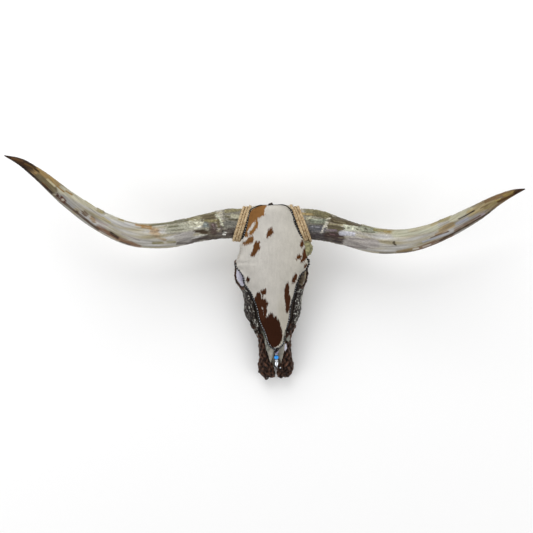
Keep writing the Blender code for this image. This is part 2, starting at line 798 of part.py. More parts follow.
def cheek(side, bone, others):
    """Tooled leather over one cheek."""
    name = "cheek_leather_left" if side < 0 else "cheek_leather_right"
    outer, inner = [], []
    for y in CHEEK_ROWS:
        edge = hide_limits(y)[0 if side < 0 else 1]
        high = head_angle(y, edge + side * CHEEK_INSET)
        turns = np.linspace(high if side > 0 else 180 - high, CHEEK_LOW_ANGLE, 9)
        swell = CHEEK_SWELL[0 if side < 0 else 1]
        swell *= math.exp(-((y - CHEEK_SWELL_Y) / CHEEK_SWELL_RUN) ** 2)
        outer.append([head_point(y, a if side > 0 else 180 - a,
                                 CHEEK_THICK + swell * max(math.cos(math.radians(a)), 0) ** 2)
                      for a in turns])
        inner.append([head_point(y, a if side > 0 else 180 - a, -0.007) for a in turns])
    return clear_of(slab(name, outer, inner), [bone] + others)


def muzzle_wrap(side, bone, others):
    """Braided leather round one side of the muzzle, out to its knotted end."""
    name = "muzzle_wrap_left" if side < 0 else "muzzle_wrap_right"
    rings = []
    for row in through(WRAP, np.linspace(WRAP[0][0], WRAP[-1][0], 14)):
        y, inner, outer, low, high = row
        if side > 0:
            outer -= WAIST * math.exp(-((y - WAIST_Y) / WAIST_RUN) ** 2)
        ring = []
        for k in range(12):
            t = math.tau * k / 12
            c, s = math.cos(t), math.sin(t)
            x = (inner + outer) / 2 + (outer - inner) / 2 * math.copysign(abs(c) ** 0.8, c)
            z = (low + high) / 2 + (high - low) / 2 * math.copysign(abs(s) ** 0.8, s)
            ring.append(Vector((side * x + lean(y), y, z)))
        rings.append(ring)
    return clear_of(loft(name, rings), [bone] + others)


def orbit_lace(side, bone, tree, others):
    """Lacing round the lower rim of the eye socket."""
    name = "orbit_lacing_left" if side < 0 else "orbit_lacing_right"
    outwards = orbit_turn(side) @ Vector((side, 0, 0))
    points = []
    for *spot, radius in orbit_rim_points(side, 5, -190, 20, 0.0060, 0.0034):
        hit = tree.ray_cast(Vector(spot) + 0.05 * outwards, -outwards)[0] or Vector(spot)
        points.append((*(hit + (radius + 0.0002) * outwards), radius))
    lace = tube(name, points, LACE_SIDES, up=outwards)
    return clear_of(lace, [bone] + others)


def strip(others):
    """The short leather strip that hangs from the tip of the hide."""
    outer, inner = [], []
    for k in range(7):
        y = -0.441 - 0.056 * k / 6
        _, half, _, top, _ = through(NASAL, y)[0]
        width = 0.0055 - 0.0015 * k / 6
        for grid, z in ((outer, top + 0.0022), (inner, top - 0.0002)):
            grid.append([Vector((MUZZLE_LEAN + 0.0005 + s * width, y, z)) for s in (-1, 0, 1)])
    return clear_of(slab("pendant_strip", outer, inner), others)


def pendant(others):
    """Beads and a silver charm on the strip, from the hide's tip down."""
    pieces = []
    for name, y, size, detail in (("pendant_bead", -0.4485, (0.0072, 0.0066, 0.0066), 2),
                                  ("pendant_ring", -0.4578, (0.0042, 0.0024, 0.0042), 2),
                                  ("pendant_turquoise", -0.4666, (0.0070, 0.0061, 0.0060), 2)):
        top = through(NASAL, y)[0][3]
        middle = Vector((MUZZLE_LEAN + 0.0018, y, top + 0.0026 + size[2]))
        pieces.append(ball(name, middle, size, None, detail))
    rings = []
    for y, across, high in ((-0.4730, 0.0035, 0.0030), (-0.4755, 0.0052, 0.0040),
                            (-0.4790, 0.0050, 0.0034), (-0.4850, 0.0062, 0.0028),
                            (-0.4920, 0.0042, 0.0020), (-0.4975, 0.0008, 0.0007)):
        top = through(NASAL, max(y, NASAL_TIP_Y))[0][3]
        rings.append([Vector((MUZZLE_LEAN + 0.0018 + across * math.cos(t), y,
                              top + 0.0068 + high * math.sin(t)))
                      for t in (math.tau * k / 10 for k in range(10))])
    pieces.append(loft("pendant_charm", rings))
    return [clear_of(piece, others + pieces[:k]) for k, piece in enumerate(pieces)]


def hanging_loop(others):
    """A leather loop on the rear edge of the poll."""
    points = []
    for k in range(18):
        t = math.tau * k / 18
        points.append((0.002 + 0.0055 * math.cos(t), 0.0032, 0.158 + 0.0135 * math.sin(t), 0.0024))
    loop = tube("hanging_loop", points, 7, closed=True, up=Vector((0, 1, 0)))
    return clear_of(loop, others)


# Colour, roughness and metallic value of each finish.
FINISHES = {
    "bone": ((0.50, 0.45, 0.37), 0.70, 0.0),
    "horn": ((0.30, 0.27, 0.22), 0.55, 0.0),
    "cowhide": ((0.52, 0.48, 0.44), 0.85, 0.0),
    "sisal rope": ((0.36, 0.25, 0.15), 0.90, 0.0),
    "tooled leather": ((0.055, 0.035, 0.026), 0.45, 0.0),
    "braided leather": ((0.040, 0.025, 0.018), 0.50, 0.0),
    "beaded lacing": ((0.030, 0.025, 0.022), 0.45, 0.0),
    "glass bead": ((0.38, 0.34, 0.45), 0.25, 0.0),
    "turquoise": ((0.01, 0.33, 0.86), 0.35, 0.0),
    "silver": ((0.75, 0.75, 0.76), 0.25, 1.0),
}


def finished(thing, finish):
    """Give a node its own material, smooth faces and its place."""
    colour, rough, metal = FINISHES[finish]
    stuff = bpy.data.materials.new(thing.name + " " + finish)
    stuff.use_nodes = True
    shader = stuff.node_tree.nodes["Principled BSDF"]
    shader.inputs["Base Color"].default_value = (*colour, 1)
    shader.inputs["Roughness"].default_value = rough
    shader.inputs["Metallic"].default_value = metal
    thing.data.materials.clear()
    thing.data.materials.append(stuff)
    thing.data.shade_smooth()
    thing.data.set_sharp_from_angle(angle=math.radians(40))
    return thing


def build():
    for thing in list(bpy.data.objects):
        bpy.data.objects.remove(thing)
    bone = cranium()
    tree = surface_of(bone)
    horns = [horn(side, bone) for side in (-1, 1)]
    ropes = []
    for side, turns in ((-1, ROPE_LEFT_TURNS), (1, ROPE_RIGHT_TURNS)):
        sheath = horns[0 if side < 0 else 1]
        trees = [tree, surface_of(sheath)]
        ropes += [rope_turn(side, number, bone, sheath, trees) for number in range(turns)]
    hide = hide_panel(bone, tree, [ropes[0], ropes[ROPE_LEFT_TURNS]])
    laces = [edge_lace(side, bone, tree, hide, [rope]) for side, rope in
             ((-1, ropes[0]), (1, ropes[ROPE_LEFT_TURNS]))]
    laces[1] = clear_of(laces[1], [laces[0]])
    cheeks = [cheek(side, bone, [hide, lace]) for side, lace in ((-1, laces[0]), (1, laces[1]))]
    wraps = [muzzle_wrap(side, bone, [hide, laces[k], cheeks[k]]) for k, side in ((0, -1), (1, 1))]
    rims = [orbit_lace(side, bone, tree, [hide, laces[k], cheeks[k]]) for k, side in ((0, -1), (1, 1))]
    hung = strip([bone] + laces)
    beads = pendant([bone, hung] + laces)
    loop = hanging_loop([bone, hide] + laces)

    finished(bone, "bone")
    for thing in horns:
        finished(thing, "horn")
    for thing in ropes:
        finished(thing, "sisal rope")
    finished(hide, "cowhide")
    for thing in laces + rims:
        finished(thing, "beaded lacing")
    for thing in cheeks:
        finished(thing, "tooled leather")
    for thing in wraps + [hung, loop]:
        finished(thing, "braided leather")
    for thing, finish in zip(beads, ("glass bead", "silver", "turquoise", "silver")):
        finished(thing, finish)

    stand = bpy.data.objects.new("skull", None)
    bpy.context.scene.collection.objects.link(stand)
    stand.location = POLL
    for thing in [bone, hide, hung, loop] + horns + ropes + laces + cheeks + wraps + rims + beads:
        thing.parent = stand


build()
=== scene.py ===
"""The looks of a longhorn steer's skull dressed with hide, leather, rope and beads.

Metres, +Z up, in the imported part's own frame: the skull lies face up, the poll
to +Y and the nose to -Y. Left is -X. The camera looks straight down.
"""
import math

import bmesh
import bpy
import numpy as np
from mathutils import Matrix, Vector, noise
from mathutils.bvhtree import BVHTree


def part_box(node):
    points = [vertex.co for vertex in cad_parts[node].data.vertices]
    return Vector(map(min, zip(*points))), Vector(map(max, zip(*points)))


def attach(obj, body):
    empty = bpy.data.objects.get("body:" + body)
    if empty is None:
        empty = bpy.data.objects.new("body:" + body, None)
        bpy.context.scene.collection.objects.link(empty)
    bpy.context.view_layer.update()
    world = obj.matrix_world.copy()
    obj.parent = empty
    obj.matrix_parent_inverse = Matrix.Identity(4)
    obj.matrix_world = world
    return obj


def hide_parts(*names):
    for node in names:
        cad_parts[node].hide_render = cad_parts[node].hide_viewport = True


# The picture is 533 pixels square, and the camera hangs over the brow.
PICTURE = 533
CAMERA_AT = Vector((-0.0013, 0.0036, 4.2))
CAMERA_TURN = math.radians(-1.3)
PIXEL = 0.00305         # metres to a pixel at the height of the brow
BROW_HEIGHT = 0.15
SENSOR = 36.0
FLOOR_HALF = 60.0

# The skull's own origin, the middle of the poll, as in the part.
POLL = np.array((0.0165, 0.1892, 0.0))

# Horns, root to tip: x, y, height and radius of each station, as in the part.
HORN_LEFT = (
    (-0.088, -0.054, 0.140, 0.0465),
    (-0.133, -0.052, 0.141, 0.0450),
    (-0.205, -0.061, 0.144, 0.0415),
    (-0.328, -0.084, 0.155, 0.0387),
    (-0.424, -0.078, 0.169, 0.0357),
    (-0.517, -0.037, 0.190, 0.0305),
    (-0.608, 0.030, 0.222, 0.0250),
    (-0.696, 0.109, 0.257, 0.0163),
    (-0.740, 0.141, 0.272, 0.0104),
    (-0.783, 0.159, 0.285, 0.0015),
)
HORN_RIGHT = (
    (0.088, -0.057, 0.140, 0.0465),
    (0.136, -0.062, 0.142, 0.0455),
    (0.209, -0.082, 0.147, 0.0405),
    (0.329, -0.116, 0.160, 0.0381),
    (0.425, -0.115, 0.176, 0.0348),
    (0.520, -0.086, 0.198, 0.0299),
    (0.612, -0.040, 0.228, 0.0245),
    (0.680, 0.000, 0.253, 0.0150),
    (0.725, 0.019, 0.270, 0.0079),
    (0.751, 0.026, 0.278, 0.0015),
)
HORN_ROWS = 680
HORN_SIDES = 140
SIDE_SHIFT = 0.3        # how much closer the columns lie on a horn's upper side

# The hide's edges, row by row: y, left x, right x. The rows past the brow are narrower than
# in the part, and the first rows lap over the edge of the poll, as the real hide does.
HIDE_EDGE = (
    (-0.0008, -0.036, 0.0385),
    (-0.0045, -0.043, 0.0440),
    (-0.0078, -0.0495, 0.0480),
    (-0.0112, -0.056, 0.0515),
    (-0.0190, -0.0615, 0.057),
    (-0.034, -0.066, 0.063),
    (-0.057, -0.071, 0.068),
    (-0.081, -0.078, 0.078),
    (-0.105, -0.0865, 0.090),
    (-0.126, -0.0905, 0.095),
    (-0.150, -0.0965, 0.099),
    (-0.168, -0.103, 0.104),
    (-0.181, -0.108, 0.107),
    (-0.194, -0.098, 0.100),
    (-0.209, -0.087, 0.084),
    (-0.236, -0.082, 0.071),
    (-0.262, -0.065, 0.064),
    (-0.286, -0.055, 0.0565),
    (-0.314, -0.0455, 0.0490),
    (-0.345, -0.0405, 0.0450),
    (-0.368, -0.0325, 0.0390),
    (-0.392, -0.0220, 0.0295),
    (-0.412, -0.0170, 0.0270),
    (-0.427, -0.011, 0.0225),
    (-0.435, -0.001, 0.011),
)
HIDE_ROWS = 200
HIDE_COLUMNS = 96
HIDE_THICK = 0.0035
HIDE_OVER_BONE = 0.0022
HIDE_SAG = 0.0012       # how far smoothing may sink the hide below what it lies on
LAP_RISE = 0.03         # the hide's rise over its lacing, for each share of its width
RAY_TOP = 0.35          # above everything, where the rays for heights start
RAGGED_EDGE = 0.0024    # how far the hair blurs the edge of a brown patch
PATCH_GROWTH = 0.65     # pixels by which each brown patch is larger than its outline

LACE_OUT = 0.0044
POLL_LACE_Y = -0.0004
STITCH_PITCH = 0.0075
POLL_STITCH_Y = -0.016
LOW_BEAD_Y = -0.315
STITCH_SIZE = (0.0037, 0.0037, 0.0028)
UPPER_BEAD = 0.0011
LOWER_BEAD = 0.0015
RIM_TWISTS = 9
RIM_LACE = (0.0044, 0.0036)     # width and thickness
ROPE_RADIUS = 0.0046            # a little over the part's, as the strands stand proud
ROPE_LAY = 0.026                # one full twist of the strands
ROPE_FUZZ = 30000.0             # loose fibres to a square metre
# The lacing is lifted where the hide's tip is narrower than the part's.
NARROW_Y = -0.372
NARROW_RUN = 0.036
NARROW_LIFT = 0.0042

# Smooth patches of leather beside the hide's tip, in the picture's pixels.
GREY_PATCHES = (
    (264.3, 335, 266, 338, 268, 344, 269.5, 349, 268.5, 352, 266.3, 350.5, 265, 344),
    (286.2, 333, 289.6, 335, 290, 340, 288.2, 342, 286, 340),
)
# The tooled leather's tips over the tops of the muzzle wraps.
CHEEK_TIPS = (
    (-1, (249, 321.5, 252, 328.6, 255.3, 332.8, 257.4, 336.6, 258.9, 332.2, 259.5, 328.4,
          259.2, 323.3, 256.9, 318.8, 252, 318)),
    (1, (296, 320.5, 293.6, 327, 291.5, 329.6, 289.1, 332.4, 287.4, 333.3, 286.9, 331.2,
         288.7, 326, 290.6, 320, 292.6, 318)),
)
PATCH_STEP = 0.3        # pixels between a patch's points
PATCH_THICK = 0.0016
PATCH_LIFT = 0.0022
CHEEK_TIP_LIFT = 0.0044
LAVENDER_PATCH = (283.6, 344.5, 286.2, 343.2, 287.2, 348, 285.4, 351, 283.4, 350)

# The right socket is lined with tooled leather out to here, and plain beyond.
LINING_SPLIT = 0.0985
LINING_THICK = 0.0014
# A socket's middle, at its distance from a line a little left of the poll's, and its reach.
SOCKET = (0.0980, -0.210, 0.1375)
SOCKET_SHIFT = -0.0045
SOCKET_REACH = (0.046, 0.036, 0.036)

# Braided leather on each side of the muzzle, as in the part:
# y, inner and outer distance from the middle line, lowest and highest.
WRAP = (
    (-0.375, 0.030, 0.0670, 0.022, 0.108),
    (-0.388, 0.026, 0.0605, 0.021, 0.106),
    (-0.404, 0.022, 0.0535, 0.020, 0.099),
    (-0.430, 0.020, 0.052, 0.017, 0.086),
    (-0.470, 0.018, 0.051, 0.015, 0.070),
    (-0.500, 0.009, 0.055, 0.014, 0.060),
    (-0.518, 0.004, 0.050, 0.014, 0.052),
    (-0.536, 0.005, 0.036, 0.019, 0.041),
)
MUZZLE_LEAN = 0.0045
LEAN_START = -0.365
LEAN_RUN = 0.060
WAIST = 0.0038
WAIST_Y = -0.428
WAIST_RUN = 0.034

# Brown patches of the hide: how tan each is (1 is light tan, 0 is near black),
# then its outline in the picture's pixels.
HIDE_PATCHES = (
    (1.0, (266.3, 205, 263.4, 209, 264, 213.4, 260.8, 215.8, 257.2, 217, 255, 219.4, 252, 222.4,
           249.4, 226, 247.6, 229.6, 246.4, 231, 246.9, 226, 249, 218.5, 250.2, 212, 252.4, 206.5,
           258, 202.8)),
    (0.95, (257, 218.7, 258, 221, 257.2, 225.7, 254.2, 230.4, 250.6, 233.8, 249, 233, 250.3, 230.7,
            253.1, 227.6, 255.3, 224.7, 255.9, 221)),
    (0.85, (246.5, 231, 247.6, 233, 247, 236, 245.2, 236, 245.3, 233.5)),
    (0.7, (252, 235.2, 253.7, 238.5, 251.5, 241.5, 248, 242.8, 243.2, 243.6, 243.8, 241.3,
           247.5, 239.8, 249.8, 237)),
    (0.5, (256, 241.2, 259.6, 241.2, 258.5, 244.8, 260.3, 246.6, 257.5, 249.5, 255.5, 253,
           252.5, 255.8, 250.2, 254.6, 252.5, 251, 254.3, 247.8, 254, 245.8)),
    (0.45, (272.2, 226.4, 271, 230.2, 273, 231, 271.2, 233.8, 268.3, 235.5, 267.2, 237,
            266.9, 234.5, 267.8, 231.2, 268.2, 228.8, 270, 228.6)),
    (0.4, (302, 239.4, 303.4, 241, 303.2, 244, 301.2, 246, 299.9, 244.8, 300.6, 241.8)),
    (0.4, (304.6, 248.2, 305.6, 252, 307.2, 254.5, 305.5, 258, 303, 260.5, 300.9, 261.6,
           301.5, 258.5, 303, 255.5, 302.7, 252)),
    (0.45, (299.8, 254, 300.9, 255, 299.5, 258, 297.8, 257.5, 296.3, 259.3, 296.2, 257,
            297.6, 254.8)),
    (0.4, (305.2, 263, 306.9, 264.4, 306, 266, 304.6, 267.6, 304.2, 265.5)),
    (0.25, (295.2, 273, 297.2, 273.8, 296, 278, 293.8, 281.8, 291.6, 281.6, 292.6, 278, 294, 275)),
    (0.1, (247.8, 276.4, 249.2, 277, 249, 280, 247.6, 281, 246.8, 279.5)),
    (0.2, (287.8, 281.6, 288.7, 286, 288.6, 293, 290.4, 296, 289.6, 301, 289, 308, 287.5, 311.2,
           286, 309.5, 286.2, 303, 285, 297, 285, 290, 286, 285)),
    (0.25, (265, 288, 266.3, 290, 265, 293.4, 263, 294, 262.5, 291.8, 261, 292, 261.2, 290,
            263.5, 289.5)),
    (0.15, (257.8, 292, 260, 292.6, 260.3, 296, 262, 295.3, 263, 298.5, 265.3, 297.8, 266, 301,
            268, 302, 267.5, 304.5, 265.5, 305, 266.8, 309, 266.3, 313, 264.5, 317.5, 264, 321,
            258, 316, 255.5, 307, 253.8, 301, 255.5, 296)),
    (0.05, (271, 311.8, 273, 313, 273.2, 316.5, 275.8, 315.8, 278.3, 319, 280, 324, 281.6, 330,
            281.8, 337, 279.5, 342.5, 275, 346.5, 270.5, 346.8, 267.5, 343, 265, 336, 262.5, 329,
            259.5, 322, 258, 316, 262, 319, 266, 317.5)),
)
# White holes in the brown, as strokes: one end, other end and radius in pixels.
HIDE_HOLES = ((261.4, 296.3, 261.8, 296.6, 1.1), (262, 306.3, 262, 308.6, 1.0),
              (263.7, 310, 263.6, 313, 0.8))

# Where the hide laps over its lacing and hides it: side, y of both ends.
LAPS = ((-1, -0.100, -0.170), (1, -0.102, -0.160))
LAP_OUT = (0.0075, 0.0038)
LAP_FADE = 0.009

# Marks on the horns, as strokes in the picture's pixels: one end, other end,
# radius, colour, and how far the layer stands proud in millimetres, or lies low if below 0.
# Most are the horn's own colours; the thin dark strokes along the lower edges are painted
# shade, and a few light strokes near the roots are painted highlights and sheen.
MARKS_LEFT = (
    # root, beside the hide
    (233, 206, 233, 240, 10, "#7b776a", 0.5), (240, 232, 216, 236, 4.5, "#5b534e", 0.0),
    (228, 224, 236, 226, 4, "#77756d", 0.3), (226, 211.6, 239, 209.6, 1.5, "#817a58", 0.6),
    (232, 215.5, 238, 217, 1.8, "#a29f8a", 0.5), (241, 214, 239.5, 221, 1.3, "#aaa58f", 0.5),
    (229, 219.5, 236, 220, 0.8, "#55503f", 0.2), (226, 216, 230, 217.5, 0.8, "#5e5844", 0.2),
    (229, 229, 238, 228, 0.9, "#4f4741", 0.0), (230, 234.5, 239, 233, 1.2, "#453b37", 0.0),
    (208, 221, 209, 235, 7.0, "#665e50", 0.2), (186.5, 219, 213, 212.6, 2.6, "#7a7358", -2.0),
    (205, 217.6, 213, 217, 3.2, "#5e543f", 0.0), (202, 216.6, 213, 214.6, 1.5, "#5e543f", -2.0),
    # painted sheen: the second stroke, blue-grey, is a reflection on the smooth band
    (205, 221, 216.5, 220.6, 1.3, "#77704f", 1.0), (205, 225, 206.3, 228, 3.2, "#666c69", 0.3),
    (203.5, 223.7, 207, 224.7, 0.5, "#8b908c", 0.8),
    (213.7, 226, 213.7, 232.5, 3.4, "#51443f", 0.2),
    (212.5, 224, 214.5, 229, 0.6, "#7a6b6b", 0.6), (218.5, 219, 218.6, 227.5, 1.5, "#645b42", 1.0),
    (221, 226.5, 222, 231, 1.5, "#605750", 0.4), (216.4, 214.6, 219.6, 218.6, 1.0, "#b9baa5", 1.2),
    (219.6, 218.4, 222.8, 225.4, 0.8, "#bfc0ab", 1.2),
    # painted highlights: these two near-white strokes are glints
    (223.5, 232.2, 226, 232.6, 0.7, "#cfcfc7", 0.8),
    (223.4, 234.3, 225, 234.5, 0.9, "#e4e4de", 0.9),
    (223.1, 231.2, 223.4, 231.9, 0.9, "#2b2622", 0.0),
    (186, 230, 208, 229, 1.6, "#9c9989", 0.4), (195, 231.2, 203, 231.4, 1.5, "#443729", 0.0),
    (203, 231.6, 205.6, 231.8, 2.4, "#443729", 0.0),
    (199.2, 235.2, 207.2, 235, 0.6, "#cbcbc1", 0.3),
    # painted shade: both dark strokes run along the root's lower edge
    (190, 241.8, 207, 237.2, 1.7, "#463b37", 0.0), (207, 237.4, 222, 240.6, 2.3, "#463b37", 0.0),
    (191, 223.5, 199, 222, 4.4, "#a9a693", 0.8), (188.5, 220.4, 200.5, 218, 1.2, "#857e60", -1.6),
    (189, 221.3, 191.5, 221, 0.6, "#cfcfbb", 1.1), (195, 223.3, 197.4, 222.8, 0.6, "#d4d4c0", 1.1),
    (189.5, 227, 192.4, 226.6, 0.6, "#cfcfbb", 1.0),
    (198, 226.6, 200.4, 225.8, 0.6, "#cfcfbb", 1.0),
    (193.4, 219.6, 195, 219.4, 0.5, "#cfcfbb", 1.0),
    (186, 225.4, 187.6, 225.2, 0.5, "#cfcfbb", 0.9),
    (194, 228.6, 197, 228.4, 0.5, "#c9c9b6", 0.8), (200.6, 222.4, 202, 222.4, 0.5, "#cfcfbb", 1.0),
    (193.5, 224, 195, 224.3, 0.6, "#55503f", 0.3), (197, 220.2, 199, 220.4, 0.5, "#5c5642", 0.3),
    (187.6, 224, 188.4, 224.8, 0.6, "#5c5642", 0.3), (201, 219, 202, 221.4, 0.7, "#4f4938", 0.3),
    (183, 235.5, 190.5, 234.8, 3.8, "#a09b97", 0.1),
    # painted shade: a dark line along the lower edge
    (178, 243.2, 192.5, 243.4, 1.3, "#4f453f", 0.0),
    # middle
    (169, 229.5, 186, 227, 4.2, "#a2a190", 0.4), (178, 238, 188, 238, 4.0, "#9b9793", 0.0),
    (150, 225.9, 176, 222.2, 1.1, "#65634c", 0.9), (176, 221.8, 187, 220.5, 1.5, "#65634c", 1.7),
    (169, 227.2, 178, 226, 0.8, "#77755f", 0.6), (172, 230.6, 184, 229.4, 0.6, "#7d7b68", 0.5),
    (180, 224.2, 185, 223.8, 1.0, "#bdbca9", 0.8), (167, 233.4, 181, 233, 0.6, "#8a8880", 0.2),
    (153.5, 231.2, 156, 232, 4.2, "#a08b71", 0.0), (156, 237, 165, 239.6, 1.3, "#99866a", 0.0),
    (151, 229.5, 158, 230.5, 0.6, "#8d765a", 0.0), (136, 225, 143, 226, 0.9, "#96703a", 0.0),
    (142, 226.2, 150.5, 227.6, 1.7, "#8f6a37", 0.0), (153, 243.2, 163, 242.9, 1.2, "#837c5c", 0.0),
    (168, 242, 175, 241.8, 0.9, "#837c5c", 0.0), (98, 227.5, 118, 238.5, 1.9, "#755640", 0.0),
    (118, 238.5, 139, 246.6, 2.0, "#7a5d47", 0.0), (111, 232.9, 118, 238, 1.3, "#2b1c15", -0.4),
    (120, 241.3, 130, 245, 0.6, "#3f2e24", 0.0), (122, 234, 140, 240.5, 0.6, "#97908c", 0.0),
    (90, 203.8, 101.5, 211.6, 2.2, "#93885f", 2.0), (105, 215.2, 112, 216.2, 1.3, "#bdbbad", 1.5),
    (112, 217.5, 123, 221.2, 1.6, "#b1ad9a", 1.1), (118.5, 219.2, 123.5, 221, 0.8, "#8d8055", 0.9),
    (102.5, 217.2, 110.5, 222.4, 0.7, "#a3986f", 0.0), (92, 218, 94, 220.5, 2.2, "#89745a", 0.0),
    (96, 220.5, 107, 225.4, 0.8, "#9d8f8b", 0.0), (97, 223.6, 105, 228, 0.7, "#8f8380", 0.0),
    # tip
    (60, 189, 95, 207, 3.5, "#b3ae98", 0.0), (63, 195, 80, 207, 0.8, "#8e8c86", -0.3),
    (75, 211.2, 76.6, 211.6, 3.0, "#9b8f76", 0.0), (76, 211.4, 76.9, 211.9, 1.3, "#35251e", -0.5),
    (84, 212.5, 86, 214.5, 2.2, "#5f4c3a", 0.0), (86, 200.4, 94, 205.4, 1.2, "#958b58", 0.8),
    # painted shade: the first stroke is a dark line along the lower edge
    (56, 196, 98, 229.5, 1.2, "#57473b", 0.0), (57, 194.3, 58, 195.8, 1.3, "#3a1b12", -0.5),
    (61.5, 198.5, 64, 201, 2.3, "#553428", -0.3), (62.6, 199.5, 63.3, 200.3, 1.0, "#c5bcaa", 0.0),
    (38, 176, 54, 190, 3.2, "#63583f", 0.0), (36, 168.5, 58, 184, 2.4, "#93794a", 0.0),
    (35.2, 169, 39, 171.8, 0.9, "#33240f", 0.0), (47.8, 179.6, 50.4, 182.2, 0.9, "#b3a781", 0.0),
    (51, 182.4, 54.6, 186.2, 1.0, "#b8ae8f", 0.0),
    (42.5, 183.5, 47.8, 188.4, 0.9, "#84582c", 0.0), (57, 186, 64, 192, 0.8, "#876c40", 0.0),
    (66.3, 191, 72, 194.6, 0.8, "#876c40", 0.0), (4, 156, 30, 164.6, 6.5, "#2f1b0b", 0.0),
    (10.5, 157.6, 22, 161, 1.1, "#553a1e", 0.0), (24, 163.2, 33, 167.4, 0.8, "#5f4622", 0.0),
    # painted shade: the near-black strokes here and on the next line run along the tip's lower edge
    (6, 159.4, 24, 168.6, 1.6, "#170f08", 0.0), (24, 168.6, 34, 177, 1.6, "#1c120a", 0.0),
    (34, 177, 52, 193, 1.2, "#2a1c12", 0.0),
)
